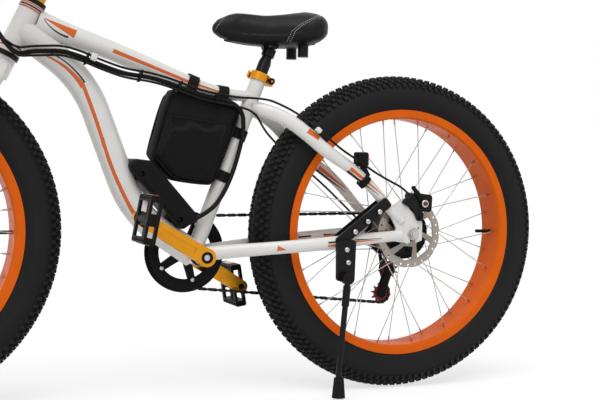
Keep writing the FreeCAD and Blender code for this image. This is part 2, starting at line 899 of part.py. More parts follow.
def make_derailleur():
    """Hanger knuckle, parallelogram and a cage of two plates that holds the pulleys on pins."""
    line = size("chain_line")
    hanger_face = size("rear_dropout_gap / 2 + dropout_wall")
    along = TENSION - GUIDE
    side = V(-along.z, 0, along.x).normalize() * 9
    corners = [(p.x, p.z) for p in (GUIDE + side, GUIDE - side, TENSION - side, TENSION + side)]
    ends = [Part.Face(Part.Wire(Part.makeCircle(11, end, Y))) for end in (GUIDE, TENSION)]
    flat = Part.Face(Part.makePolygon([V(a, 0, b) for a, b in corners + corners[:1]])).multiFuse(ends)
    flat = flat.removeSplitter()
    plates = []
    for start in (line - 7.4, line + 5.4):
        plates += slab(flat, start, start + 2).Solids
    pins = [rod(end + Y * (line - 7.4), end + Y * (line + 7.4), 2.5) for end in (GUIDE, TENSION)]
    lower = rod(GUIDE + Y * (line + 7.3), GUIDE + Y * (line + 27), 13)
    upper = rod(HANGER + Y * hanger_face, HANGER + Y * (hanger_face + 13), 11)
    bolt = rod(HANGER + Y * (hanger_face - 5), HANGER + Y * (hanger_face + 15), 4)
    arm_start = HANGER + Y * (hanger_face + 9)
    arm_end = GUIDE + Y * (line + 23)
    arms = []
    for shift in (-6, 6):
        arms.append(rod(arm_start + X * shift, arm_end + X * shift, 4.5))
    return feature("rear_derailleur", plates[0].multiFuse(plates[1:] + pins + [lower, upper, bolt] + arms))


CRANK = polar(1, math.radians(size("crank_angle")))
LEFT_PEDAL = BRACKET + CRANK * size("crank_length")
RIGHT_PEDAL = BRACKET - CRANK * size("crank_length")


def make_crank_arms():
    """Two forged arms, each with a deep boss on the spindle and a pedal eye."""
    face = size("crank_face")
    wall = size("crank_wall")
    solids = []
    for side, pedal, boss_end in ((-1, LEFT_PEDAL, 70), (1, RIGHT_PEDAL, size("chain_line") + 6.1)):
        along = pedal - BRACKET
        across = V(-along.z, 0, along.x).normalize()
        wide = size("crank_boss_radius") - 1
        narrow = size("crank_tip_radius")
        corners = [BRACKET + across * wide, BRACKET - across * wide, pedal - across * narrow, pedal + across * narrow]
        flat = Part.Face(Part.makePolygon(corners + corners[:1]))
        web = slab(flat, side * face, side * (face - wall))
        boss = rod(BRACKET + Y * side * boss_end, BRACKET + Y * side * face, size("crank_boss_radius"))
        eye = rod(pedal + Y * side * (face - wall), pedal + Y * side * face, narrow)
        groove = [BRACKET + along * 0.18 + across * 6, BRACKET + along * 0.18 - across * 6,
                  BRACKET + along * 0.86 - across * 4, BRACKET + along * 0.86 + across * 4]
        pocket = slab(Part.Face(Part.makePolygon(groove + groove[:1])), side * (face - 2), side * (face + 5))
        holes = [
            rod(BRACKET, BRACKET + Y * side * 200, size("spindle_radius") + 0.02),
            rod(pedal, pedal + Y * side * 200, size("pedal_axle_radius") + 0.02),
            pocket,
        ]
        solids.append(web.multiFuse([boss, eye]).cut(group(holes)))
    return feature("crank_arms", group(solids))


def make_crank_axles():
    """The spindle and the two pedal axles, screwed into the arms."""
    face = size("crank_face")
    solids = [rod(BRACKET - Y * (face - 2), BRACKET + Y * (face - 2), size("spindle_radius"))]
    for side, pedal in ((-1, LEFT_PEDAL), (1, RIGHT_PEDAL)):
        neck = face + 6
        root = rod(pedal + Y * side * (face - 13), pedal + Y * side * neck, size("pedal_axle_radius"))
        tip = rod(pedal + Y * side * neck, pedal + Y * side * (neck + size("pedal_width") - 6), 5)
        solids.append(root.fuse(tip))
    return feature("crank_axles", group(solids))


def make_chainring():
    """The toothed ring, a five armed spider behind it and the round chain guard."""
    line = size("chain_line")
    wall = size("tooth_wall")
    face = toothed_face(int(size("chainring_teeth")), wheel_phase(0))
    face.translate(BRACKET)
    ring = slab(face, line - wall / 2, line + wall / 2)
    ring = ring.cut(rod(BRACKET, BRACKET + Y * 200, 62))
    spider_start = line + wall / 2 - 2
    spider_end = line + 6.1
    pieces = [rod(BRACKET + Y * spider_start, BRACKET + Y * spider_end, 24)]
    for k in range(5):
        turn = math.radians(72 * k) + math.radians(size("crank_angle")) + math.pi
        out = polar(1, turn)
        side = V(-out.z, 0, out.x)
        corners = [BRACKET + out * 10 + side * 11, BRACKET + out * 72 + side * 8,
                   BRACKET + out * 72 - side * 8, BRACKET + out * 10 - side * 11]
        flat = Part.Face(Part.makePolygon(corners + corners[:1]))
        pieces.append(slab(flat, spider_start, spider_end))
    guard_start = line + 4.5
    guard_end = guard_start + size("guard_wall")
    outer = rod(BRACKET + Y * guard_start, BRACKET + Y * guard_end, size("guard_radius"))
    pieces.append(outer.cut(rod(BRACKET, BRACKET + Y * 200, 64)))
    bore = rod(BRACKET, BRACKET + Y * 200, size("spindle_radius") + 0.02)
    return feature("chainring", ring.multiFuse(pieces).cut(bore))


def make_pedal(label, pedal, side):
    """A platform pedal: a barrel between two thick end bars and two open side rails."""
    length = size("pedal_length")
    width = size("pedal_width")
    height = size("pedal_height")
    start = size("crank_face") + 6 + GAP
    low = min(side * start, side * (start + width))
    block = Part.makeBox(length, width, height, V(-length / 2, low, -height / 2))
    block = block.makeFillet(5, [e for e in block.Edges if abs(e.tangentAt(e.FirstParameter).y) > 0.9])
    rail = 12
    half = length / 2 - 13
    holes = [Part.makeBox(half * 2, width - 2 * rail, height * 2, V(-half, low + rail, -height))]
    for place in (-half, 13):
        holes.append(Part.makeBox(half - 13, width * 3, height - 12, V(place, low - width, 6 - height / 2)))
    barrel = rod(Y * low, Y * (low + width), height / 2 - 0.5)
    start, end = (low - 1, low + width - 6) if side > 0 else (low + 6, low + width + 1)
    solid = block.cut(group(holes)).fuse(barrel).cut(rod(Y * start, Y * end, 5 + RUN))
    solid.rotate(V(0, 0, 0), Y, side * size("pedal_tilt"))
    solid.translate(pedal)
    return feature(label, solid)


# Frame


def head_cylinder(radius):
    return rod(on_steer(-size("head_length")), on_steer(0), radius)


def seat_cylinder(radius):
    return rod(BRACKET, SEAT_TOP, radius)


def shell_cylinder(radius):
    half = Y * size("bracket_width / 2")
    return rod(BRACKET - half, BRACKET + half, radius)


def make_head_tube():
    """A plain tube with a ridge at each end where the headset cups sit."""
    solid = head_cylinder(size("head_radius"))
    for low in (0, size("head_length") - 12):
        start = on_steer(-size("head_length") + low)
        solid = solid.fuse(rod(start, start + STEER_UP * 12, size("head_radius") + 1.5))
    bore = rod(on_steer(-200), on_steer(50), size("steerer_radius") + 3)
    return feature("head_tube", solid.cut(bore).removeSplitter())


def frame_core(head_extra=0):
    """What the other tubes are mitred against."""
    return [
        rod(on_steer(-size("head_length") - 20), on_steer(20), size("head_radius") + head_extra),
        seat_cylinder(size("seat_tube_radius")),
        shell_cylinder(size("bracket_radius")),
    ]


def biggest(shape):
    """The main body left after a mitre."""
    return max(shape.Solids, key=lambda solid: solid.Volume)


def make_top_tube():
    """A tapering tube that falls from the head tube and levels out at the seat tube."""
    stations = [
        (-270, 0, 806, 52, 42),
        (-200, 0, 781, 46, 40),
        (-60, 0, 736, 41, 38),
        (70, 0, 690, 35, 36),
        (140, 0, 675, 27, 34),
        (208, 0, 671, 26, 32),
    ]
    ridge = rod(on_steer(-12), on_steer(size("headset_height") + 2), size("head_radius") + 2 + GAP)
    return feature("top_tube", biggest(lofted_tube(stations).cut(group(frame_core() + [ridge]))))


DOWN_POINTS = [V(-305, 0, 787), V(-169, 0, 691), V(-58, 0, 408), V(80, 0, 318)]


def make_down_tube():
    """A deep oval tube that runs down steeply and sweeps back to the bottom bracket."""
    wire = bent_wire(DOWN_POINTS)
    ahead = DOWN_POINTS[1] - DOWN_POINTS[0]

    section = oval(DOWN_POINTS[0], ahead, size("down_depth"), size("down_width"))
    bar = wire.makePipeShell([section], True, False)
    low = -size("head_length")
    ridges = [rod(on_steer(low), on_steer(low + 12), size("head_radius") + 1.5)]
    tools = frame_core() + ridges + [NODES["top_tube"].Shape]
    return feature("down_tube", biggest(bar.cut(group(tools))))


def make_seat_tube():
    """The seat tube welded to the bottom bracket shell, bored for the post and the spindle."""
    bores = [
        rod(BRACKET + SEAT_UP * 60, SEAT_TOP + SEAT_UP * 10, size("seatpost_radius") + RUN),
        rod(BRACKET - Y * 100, BRACKET + Y * 100, size("cup_radius") + 0.02),
    ]
    solid = seat_cylinder(size("seat_tube_radius")).fuse(shell_cylinder(size("bracket_radius")))
    return feature("seat_tube", solid.cut(group(bores)))


def dropout(outline, hole_radius):
    """A dropout plate with its axle slot and a threaded eyelet."""
    start = size("rear_dropout_gap / 2")
    end = start + size("dropout_wall")
    slot_radius = size("rear_axle_radius") + 0.1
    slot = Part.makeBox(slot_radius * 2, 200, 60, REAR + V(-slot_radius, -100, -60))
    cuts = [slot, rod(REAR - Y * 200, REAR + Y * 200, slot_radius)]
    for x, z, radius in hole_radius:
        cuts.append(rod(REAR + V(x, -200, z), REAR + V(x, 200, z), radius))
    face = rounded_face([(REAR.x + a, REAR.z + b) for a, b in outline], 2.5)
    return slab(face, start, end).cut(group(cuts))


LEFT_OUTLINE = [
    (-44, -18), (-44, 15), (-64, 51), (-47, 69), (-32, 80), (-20, 79), (-14, 61),
    (4, 43), (20, 39), (24, 23), (24, -15), (8, -21), (-8, -21),
]
RIGHT_OUTLINE = [
    (-44, -18), (-44, 15), (-35, 38), (-18, 35), (18, 21), (23, -2), (25, -37),
    (14, -45), (9, -35), (8, -21), (-8, -21),
]
EYELET = (14, 13)


def make_chain_stays():
    """Oval stays that pass inside the chainring and spread round the tyre to the dropouts."""
    stations = [
        (84, 30, 319, 30, 22),
        (165, 43, 327, 30, 22),
        (225, 62, 333, 29, 20),
        (290, 78, 339, 29, 20),
        (420, 87, 351, 28, 20),
        (552, 87, 363, 26, 20),
    ]
    stay = lofted_tube(stations).cut(group(frame_core()))
    stay = biggest(stay)
    eyelet = (*EYELET, size("eyelet_radius"))
    right = stay.fuse(dropout(RIGHT_OUTLINE, [eyelet, (14, -29, 4.05)]))
    lugs = [(-25, 73, 3), (15, 36, 3)]
    left = mirrored(stay).fuse(mirrored(dropout(LEFT_OUTLINE, [eyelet] + lugs)))
    return feature("chain_stays", group([left, right]))


SEAT_STAY = [
    (208, 14, 645, 30, 20),
    (251, 40, 632, 31, 20),
    (312, 66, 594, 32, 20),
    (357, 82, 555, 30, 20),
    (421, 87, 514, 27, 20),
    (501, 87, 444, 24, 20),
    (552, 87, 396, 22, 20),
]


def make_seat_stays():
    """Deep oval stays that part above the tyre and run straight to the dropouts."""
    right = lofted_tube(SEAT_STAY)
    middle = Part.makeBox(2000, 2000, 2000, V(-1000, -2000, -500))
    solids = []
    for stay in (right.cut(middle), mirrored(right.cut(middle))):
        tools = frame_core() + NODES["chain_stays"].Shape.Solids
        solids.append(biggest(stay.cut(group(tools))))
    return feature("seat_stays", group(solids))


def make_bearing_cups():
    """Headset cups above and below the head tube, and screwed cups in the bottom bracket."""
    height = size("headset_height")
    low = -size("head_length")
    solids = []
    for start in (0, low - height):
        cup = rod(on_steer(start), on_steer(start + height), size("head_radius") + 2)
        solids.append(cup.cut(rod(on_steer(-300), on_steer(100), size("steerer_radius") + RUN)))
    half = size("bracket_width / 2")
    for side in (-1, 1):
        cup = rod(BRACKET + Y * side * (half - 22), BRACKET + Y * side * half, size("cup_radius"))
        lip = rod(BRACKET + Y * side * half, BRACKET + Y * side * (half + 4), size("bracket_radius") - 1)
        solids.append(cup.fuse(lip).cut(rod(BRACKET - Y * 200, BRACKET + Y * 200, size("spindle_radius") + RUN)))
    return feature("bearing_cups", group(solids))


CASE_CORNERS = [(-78, 508), (-66, 526), (-27, 522), (73, 411), (75, 394), (42, 372)]


def make_controller():
    """A flat sided case in the bend of the down tube, with two deep screw recesses each side."""
    half = size("case_width / 2")
    solid = slab(rounded_face(CASE_CORNERS, 10), -half, half)
    edges = [e for e in solid.Edges if abs(abs(e.CenterOfMass.y) - half) < 0.01]
    solid = solid.makeFillet(8, edges)
    recesses = []
    for x, z in ((-50, 494), (37, 396)):
        for side in (-1, 1):
            recesses.append(rod(V(x, side * (half - 10), z), V(x, side * (half + 5), z), 6))
    tools = recesses + [NODES["down_tube"].Shape, rod(DOWN_POINTS[2] - Y * 20, DOWN_POINTS[2] + Y * 20, 5)]
    wire = bent_wire(DOWN_POINTS)
    section = oval(DOWN_POINTS[0], DOWN_POINTS[1] - DOWN_POINTS[0], size("down_depth"), size("down_width"))
    tools.append(wire.makePipeShell([section], True, False))
    tools += frame_core()
    return feature("controller_case", biggest(solid.cut(group(tools))))


def bag_corners(inset):
    """The bag's outline, following the top tube, the seat tube and the controller."""
    clear = size("seat_tube_radius + strap_wall") + GAP + 1 + inset
    low = BRACKET + SEAT_UP * 178 - SEAT_BACK * clear
    high = BRACKET + SEAT_UP * 342 - SEAT_BACK * clear
    return [
        (70, 669 - inset),
        (22 + inset, 680 - inset),
        (4 + inset, 646),
        (-24 + inset, 540),
        (-22 + inset, 529 + inset * 0.6),
        (24 + inset * 0.4, 480 + inset),
        (low.x - 12, 470 + inset),
        (low.x, low.z + inset),
        (high.x, high.z - inset),
    ]


BAG_ROUND = 6


def strap_stations():
    """Where the four straps hold the bag: two on the top tube and two on the seat tube."""
    return [(66, 690.2, 42.4, 40.4), (138, 672, 38, 38.4)], [172, 274]


def make_bag():
    """A stiffened textile bag, hollow for the battery, hung on four straps."""
    half = size("bag_width / 2")
    wall = size("bag_wall")
    outer = slab(rounded_face(bag_corners(0), BAG_ROUND), -half, half)
    inner = slab(rounded_face(bag_corners(wall), BAG_ROUND), -half + wall, half - wall)
    solids = [outer.cut(inner)]
    width = size("strap_width")
    top, seat = strap_stations()
    ahead = V(130, 0, -46).normalize()
    thick = 2 * size("strap_wall")
    for x, z, depth, across in top:
        level = V(1, 0, -0.12).normalize() if x > 100 else ahead
        start = V(x, 0, z) - level * (width / 2)
        rings = [Part.Face(oval(start, level, depth - thin, across - thin)).extrude(level * width)
                 for thin in (0, thick)]
        solids.append(biggest(rings[0].cut(rings[1]).cut(group([outer, NODES["top_tube"].Shape]))))
    for place in seat:
        start = BRACKET + SEAT_UP * place
        outside = rod(start, start + SEAT_UP * width, size("seat_tube_radius") + GAP + size("strap_wall"))
        solids.append(outside.cut(rod(start, start + SEAT_UP * width, size("seat_tube_radius") + GAP)))
    return feature("battery_bag", group(solids))


def make_battery():
    """A wedge shaped pack that fills the bag."""
    inset = size("bag_wall") + 0.5
    half = size("bag_width / 2") - inset
    return feature("battery_pack", slab(rounded_face(bag_corners(inset), BAG_ROUND), -half, half))


# Stand, seat and lamp


STAND_PIVOT = V(403, 0, 270)
STAND_FOOT = V(385, 0, 0)


def make_stand_bracket():
    """A flat bar across both left stays, with the housing that carries the leg's pin."""
    outer = size("rear_dropout_gap / 2") + 13 + GAP
    bar = slab(rounded_face([(392, 336), (378, 356), (502, 452), (518, 432)], 6), -outer - 5, -outer)
    housing = slab(rounded_face([(381, 355), (427, 355), (425, 262), (383, 262)], 8), -outer - 11, -outer)
    pin = rod(STAND_PIVOT - Y * outer, STAND_PIVOT - Y * (size("stand_offset") + 8), size("stand_pin_radius"))
    bolts = [(485, 418, 5), (456, 396, 5), (425, 373, 5)]
    heads = [rod(V(x, -outer - 5, z), V(x, -outer - 8, z), 6) for x, z, _ in bolts]
    shanks = [rod(V(x, -outer - 1, z), V(x, -outer + 25, z), 4) for x, z, _ in bolts]
    inner = slab(rounded_face([(392, 336), (378, 356), (502, 452), (518, 432)], 6), -outer + 22.2, -outer + 25)
    solid = bar.multiFuse([housing, pin, inner] + heads + shanks)
    return feature("kickstand_bracket", solid)


def make_stand_leg():
    """An eye on the bracket's pin, a rubber sleeved shank and a straight leg."""
    line = size("stand_offset")
    inside = size("rear_dropout_gap / 2") + 13 + GAP + 11 + GAP
    eye = rod(STAND_PIVOT - Y * inside, STAND_PIVOT - Y * (line + 6), 14)
    top = STAND_PIVOT - Y * line
    end = V(STAND_FOOT.x, -line, 40)
    along = (end - top).normalize()
    leg = rod(top, end, size("stand_leg_radius"))
    sleeve = rod(top + along * 16, top + along * 62, 8.6)
    bore = rod(STAND_PIVOT, STAND_PIVOT - Y * 300, size("stand_pin_radius") + RUN)
    return feature("kickstand_leg", eye.multiFuse([leg, sleeve]).cut(bore))


def make_stand_foot():
    """A flared rubber foot, a little short, so that the bike leans onto it."""
    line = size("stand_offset")
    clear = size("stand_clearance")
    cone = Part.makeCone(15, 11, 48 - clear, V(STAND_FOOT.x + 2, -line, clear), Z)
    return feature("kickstand_foot", cone.cut(NODES["kickstand_leg"].Shape))


def make_collar():
    """A slotted clamp ring with two ears, crossed by the quick release skewer."""
    radius = size("seat_tube_radius")
    wall = size("collar_wall")
    height = size("collar_height")
    low = on_seat(-height + 4)
    ring = rod(low, low + SEAT_UP * height, radius + wall)
    lip = rod(on_seat(0.2), on_seat(4), radius)
    turn = FreeCAD.Rotation(V(0, 1, 0), size("seat_tilt"))
    ears = Part.makeBox(15, 18, height, V(radius + 1, -9, -height + 4))
    ears = ears.cut(Part.makeBox(40, 3, height * 2, V(0, -1.5, -height * 1.5)))
    ears.Placement = FreeCAD.Placement(SEAT_TOP, turn)
    bore = rod(on_seat(-50), on_seat(0), radius + 0.02)
    post = rod(on_seat(-50), on_seat(50), size("seatpost_radius") + RUN)
    skewer_mid = on_seat(-height / 2 + 4, radius + 8)
    body = ring.fuse(ears).cut(group([bore, post, rod(skewer_mid - Y * 50, skewer_mid + Y * 50, 2.6)]))
    slot = Part.makeBox(40, 3, height * 2, V(0, -1.5, -height * 1.5))
    slot.Placement = FreeCAD.Placement(SEAT_TOP, turn)
    body = body.cut(slot)
    skewer = rod(skewer_mid - Y * 18, skewer_mid + Y * 17, 2.5)
    nut = rod(skewer_mid - Y * 17, skewer_mid - Y * 9, 7)
    pivot = on_seat(0, radius + 8, 17)
    pin = rod(pivot - SEAT_UP * (height - 4), pivot + SEAT_UP * 4, 3.2)
    return feature("seat_collar", group([biggest(body), skewer.multiFuse([nut, pin])]))


LEVER_PIVOT = on_seat(0, size("seat_tube_radius") + 8, 17)


def make_collar_lever():
    """A cam lever that wraps the right side of the collar towards the front."""
    height = size("collar_height")
    radius = size("seat_tube_radius") + size("collar_wall") + 3
    base = on_seat(-height + 5)
    rise = SEAT_UP * (height - 3)
    back = FreeCAD.Rotation(Y, size("seat_tilt"))
    ring = rod(base, base + rise, radius + 4).cut(rod(base, base + rise, radius))
    keep = Part.makeCylinder(radius + 20, 60, V(0, 0, -40), Z, 112)
    keep.rotate(V(0, 0, 0), Z, 48)
    keep.Placement = FreeCAD.Placement(SEAT_TOP, back).multiply(keep.Placement)
    arm = ring.common(keep)
    foot = LEVER_PIVOT - SEAT_UP * (height - 5)
    cam = rod(foot, foot + rise, 6.5)
    link_start = LEVER_PIVOT - SEAT_UP * (height / 2 - 1.5)
    mid = on_seat(-height / 2 + 3.5) + SEAT_BACK * (math.cos(math.radians(52)) * (radius + 2))
    mid += Y * (math.sin(math.radians(52)) * (radius + 2))
    bridge = rod(link_start, mid, 4)
    bore = rod(LEVER_PIVOT - SEAT_UP * 50, LEVER_PIVOT + SEAT_UP * 50, 3.2 + RUN)
    skewer = on_seat(-height / 2 + 4, size("seat_tube_radius") + 8)
    notch = rod(skewer, skewer + Y * 30, 3.2)
    slot = Part.makeBox(20, 20, 7, V(-10, -16, -3.5))
    slot.Placement = FreeCAD.Placement(LEVER_PIVOT - SEAT_UP * (height / 2 - 4), back)
    solid = cam.multiFuse([bridge, arm]).cut(group([bore, notch, slot]))
    return feature("seat_clamp_lever", biggest(solid))


def make_seatpost():
    """A plain post that narrows to the saddle clamp."""
    rise = size("seatpost_rise")
    low = on_seat(-size("seatpost_depth"))
    straight = rod(low, on_seat(rise - 34), size("seatpost_radius"))
    neck = Part.makeCone(size("seatpost_radius"), size("seatpost_top_radius"), 14, on_seat(rise - 34), SEAT_UP)
    top = rod(on_seat(rise - 20), on_seat(rise), size("seatpost_top_radius"))
    return feature("seatpost", straight.multiFuse([neck, top]))


# Saddle stations: distance along X, width, underside height and top height
SADDLE = [
    (110, 18, 812, 823),
    (121, 38, 804, 836),
    (134, 48, 797, 844),
    (160, 58, 790, 851),
    (190, 68, 786, 851),
    (235, 94, 783, 849),
    (275, 146, 782, 854),
    (325, 190, 785, 863),
    (350, 174, 794, 864),
    (366, 136, 803, 857),
    (377, 82, 812, 845),
]
SADDLE_FLOOR = 804


def make_saddle_pad():
    """A padded saddle: long nose, crowned top and a skirt that hides its base."""
    sections = []
    for x, width, low, high in SADDLE:
        rise = high - low
        foot = [V(x, side * width * 0.42, low) for side in (-1, 1)]
        side_mid = [V(x, side * width * 0.5, low + rise * 0.42) for side in (-1, 1)]
        brow = [V(x, side * width * 0.36, low + rise * 0.84) for side in (-1, 1)]
        edges = [
            Part.LineSegment(foot[1], foot[0]).toShape(),
            Part.Arc(foot[0], side_mid[0], brow[0]).toShape(),
            Part.Arc(brow[0], V(x, 0, high), brow[1]).toShape(),
            Part.Arc(brow[1], side_mid[1], foot[1]).toShape(),
        ]
        sections.append(Part.Wire(edges))
    hollow = Part.makeLoft([saddle_box(row, 0.34, 1.5, 700, SADDLE_FLOOR) for row in SADDLE[2:-2]], True, True)
    return feature("saddle_pad", biggest(Part.makeLoft(sections, True, False).cut(hollow)))


def saddle_box(station, share, extra, low, high):
    """A level rectangle across the saddle, its half width a share of the saddle's width."""
    x, width, _, _ = station
    half = width * share + extra
    corners = [V(x, -half, low), V(x, half, low), V(x, half, high), V(x, -half, high)]
    return Part.makePolygon(corners + corners[:1])


def make_saddle_base():
    """The stiff shell under the pad, inside its skirt."""
    floor = SADDLE_FLOOR
    sections = [saddle_box((x + shift, width, 0, 0), 0.33, 0, floor - 5.9, floor)
                for shift, (x, width, _, _) in zip([2, 0, 0, 0, 0, 0, -2], SADDLE[2:-2])]
    return feature("saddle_base", Part.makeLoft(sections, True, True))


def make_saddle_rails():
    """Two bent rails, the clamp on the post and two rubber springs at the back."""
    solids = []
    radius = size("rail_radius")
    for side in (-1, 1):
        route = [V(146, side * 8, 794.5), V(200, side * 20, 789), V(296, side * 22, 789), V(343, side * 42, 794)]
        solids.append(tube(route, radius))
    top = on_seat(size("seatpost_rise"))
    block = rod(V(top.x, -30, 786.5), V(top.x, 30, 786.5), 10.5)
    socket = rod(on_seat(0), top, size("seatpost_top_radius") + 0.02)
    sleeve = rod(top - SEAT_UP * 18, top, size("seatpost_top_radius") + 4)
    clamp = block.fuse(sleeve).cut(group([socket] + solids))
    solids.append(biggest(clamp))
    for side in (-1, 1):
        foot = V(318, side * 34, 762)
        solids.append(rod(foot, foot + Z * 36, 12).cut(group(solids[:2])))
    return feature("saddle_rails", group(solids))


def make_tail_light():
    """A small lamp on a band round the left seat stay."""
    place = V(452, -88, 487)
    ahead = V(80, 0, -70).normalize()
    start = place - ahead * 8
    band = [Part.Face(oval(start, ahead, depth, width)).extrude(ahead * 16)
            for depth, width in ((33, 26), (29, 22))]
    ring = band[0].cut(band[1])
    up = V(70, 0, 80).normalize()
    lamp = Part.makeBox(27, 26, 33, V(430, -101, 519))
    lamp = lamp.makeFillet(4, lamp.Edges)
    neck = rod(place + up * 14, V(446, -88, 524), 7)
    return feature("tail_light", biggest(ring.multiFuse([neck, lamp]).cut(NODES["seat_stays"].Shape)))


# Steering


def make_fork():
    """A rigid fork: steerer, crown and two bent legs with dropouts and a brake tab."""
    low = -size("head_length + headset_height") - GAP
    crown_mid = low - size("crown_drop")
    top = size("headset_height + spacer_height + stem_height")
    parts = [rod(on_steer(low - 38), on_steer(top), size("steerer_radius"))]
    parts.append(rod(on_steer(low - 42), on_steer(low), 23))
    start = size("front_dropout_gap / 2")
    wall = size("dropout_wall")
    leg_end = FRONT + (on_steer(crown_mid) - FRONT).normalize() * 34
    for side in (-1, 1):
        across = Y * side * size("fork_leg_offset")
        shoulder = on_steer(crown_mid) + (leg_end - on_steer(crown_mid)).normalize() * 8
        parts.append(tube([on_steer(crown_mid), shoulder + across, leg_end + across], size("fork_leg_radius")))
        along = (on_steer(crown_mid) - FRONT).normalize()
        broad = V(-along.z, 0, along.x) * 15
        tip = FRONT - along * 4
        corners = [tip + broad * 0.8, tip - broad * 0.8, FRONT + along * 44 - broad, FRONT + along * 44 + broad]
        flat = Part.Face(Part.makePolygon(corners + corners[:1])).multiFuse(
            [Part.Face(Part.Wire(Part.makeCircle(14, FRONT, Y)))])
        low_face, high_face = sorted((side * start, side * (start + wall)))
        parts += slab(flat.removeSplitter(), low_face, high_face).Solids
    tab = rounded_face(BRAKE_TAB, 3)
    parts.append(front_place(slab(tab, -start - wall, -start)))
    solid = parts[0].multiFuse(parts[1:])
    holes = [rod(FRONT - Y * 100, FRONT + Y * 100, size("front_axle_radius") + 0.1)]
    for x, z in LUGS:
        holes.append(front_place(rod(V(x, -start - wall - 1, z), V(x, -start + 1, z), 3)))
    return feature("fork", solid.cut(group(holes)))


# The brake in the wheel's own directions: two lugs and the tab that carries them
LUGS = [(-25, 73), (15, 36)]
BRAKE_TAB = [(-40, 30), (-34, 80), (-20, 79), (-14, 61), (4, 43), (20, 39), (22, 24), (4, 8)]
FRONT_BRAKE_TURN = 78


def front_place(shape):
    """Turn a brake piece about the axle to behind the left fork leg."""
    moved = turned_about(shape, V(0, 0, 0), Y, FRONT_BRAKE_TURN)
    moved.translate(FRONT)
    return moved


ARM_PIVOT = V(24, 0, 70)


def caliper_shape(offset):
    """A caliper that straddles the disc: block, lug web, adjuster knob and a slot for the disc."""
    block = slab(rounded_face([(-1, 53), (-8, 96), (46, 90), (44, 50)], 8), -offset - 25, -offset + 14)
    web = slab(rounded_face([(-32, 71), (-26, 82), (8, 84), (24, 44), (21, 30), (9, 30), (-4, 56)], 4),
               -offset - 25, -offset - 19)
    slot = rod(V(0, -offset - 2.6, 0), V(0, -offset + 2.6, 0), size("rotor_radius") + 2.5)
    ears = [rod(V(x, -offset - 40, z), V(x, -offset, z), 3) for x, z in LUGS]
    pin = rod(ARM_PIVOT - Y * (offset + 25), ARM_PIVOT - Y * (offset + 34), 4)
    stop = rod(V(-10, -offset - 20, 88), V(2, -offset - 20, 86), 5)
    body = block.multiFuse([web, stop]).cut(group([slot] + ears))
    bolts = [rod(V(x, -offset - 28, z), V(x, -offset - 13, z), 2.9) for x, z in LUGS]
    heads = [rod(V(x, -offset - 28, z), V(x, -offset - 25, z), 5) for x, z in LUGS]
    screws = [bolt.fuse(head) for bolt, head in zip(bolts, heads)]
    return group([body.fuse(pin)] + screws)


def caliper_arm_shape(offset):
    """The lever that the cable pulls, turning on the caliper's pin."""
    face = offset + 25 + GAP
    tip = V(-6, 0, 106)
    along = (tip - ARM_PIVOT).normalize()
    across = V(-along.z, 0, along.x)
    corners = [ARM_PIVOT + across * 8, ARM_PIVOT - across * 8, tip - across * 4, tip + across * 4]
    web = slab(Part.Face(Part.makePolygon(corners + corners[:1])), -face - 5, -face)
    eye = rod(ARM_PIVOT - Y * face, ARM_PIVOT - Y * (face + 5), 11)
    end = rod(tip - Y * face, tip - Y * (face + 5), 5)
    bore = rod(ARM_PIVOT, ARM_PIVOT - Y * 300, 4 + RUN)
    return web.multiFuse([eye, end]).cut(bore)


def make_brakes():
    rear = caliper_shape(size("rear_rotor_offset"))
    rear.translate(REAR)
    feature("rear_caliper", rear)
    arm = caliper_arm_shape(size("rear_rotor_offset"))
    arm.translate(REAR)
    feature("rear_caliper_arm", arm)
    feature("front_caliper", front_place(caliper_shape(size("front_rotor_offset"))))
    feature("front_caliper_arm", front_place(caliper_arm_shape(size("front_rotor_offset"))))


def make_spacers():
    """Two coloured rings between the headset and the stem."""
    low = size("headset_height") + GAP
    half = size("spacer_height / 2")
    solids = []
    for start in (low, low + half):
        ring = rod(on_steer(start), on_steer(start + half), size("head_radius") - 4)
        solids.append(ring.cut(rod(on_steer(-10), on_steer(100), size("steerer_radius") + 0.02)))
    return feature("headset_spacers", group(solids))


STEM_LOW = size("headset_height + spacer_height") + GAP
BAR = on_steer(STEM_LOW + size("stem_height / 2")) + STEER_FORE * size("stem_length")


def make_stem():
    """A clamp on the steerer, an arm and a split clamp round the bar."""
    high = STEM_LOW + size("stem_height")
    middle = on_steer((STEM_LOW + high) / 2)
    body = [
        rod(on_steer(STEM_LOW), on_steer(high), size("steerer_radius") + 4.5),
        rod(middle, BAR, 14),
        rod(BAR - Y * 24, BAR + Y * 24, size("bar_radius") + 8),
    ]
    cap = rod(on_steer(high), on_steer(high + 5), size("steerer_radius") + 4)
    holes = [
        rod(on_steer(0), on_steer(high), size("steerer_radius") + 0.02),
        rod(BAR - Y * 50, BAR + Y * 50, size("bar_radius") + 0.02),
    ]
    return feature("stem", body[0].multiFuse(body[1:] + [cap]).cut(group(holes)))


def bar_point(distance, side):
    """A point of the straight outer part of the bar, measured in from its end."""
    return BAR_END[side] + BAR_IN[side] * distance


BAR_KNEE = {side: BAR + V(4, side * 130, size("bar_rise")) for side in (-1, 1)}
BAR_END = {side: BAR + V(size("bar_sweep"), side * size("bar_width / 2"), size("bar_rise") + 4) for side in (-1, 1)}
BAR_IN = {side: (BAR_KNEE[side] - BAR_END[side]).normalize() for side in (-1, 1)}


def make_handlebar():
    """A riser bar with a little back sweep."""
    solids = []
    for side in (-1, 1):
        route = [BAR, BAR + Y * side * 70, BAR_KNEE[side], BAR_END[side]]
        solids.append(tube(route, size("bar_radius")))
    return feature("handlebar", solids[0].fuse(solids[1]).removeSplitter())


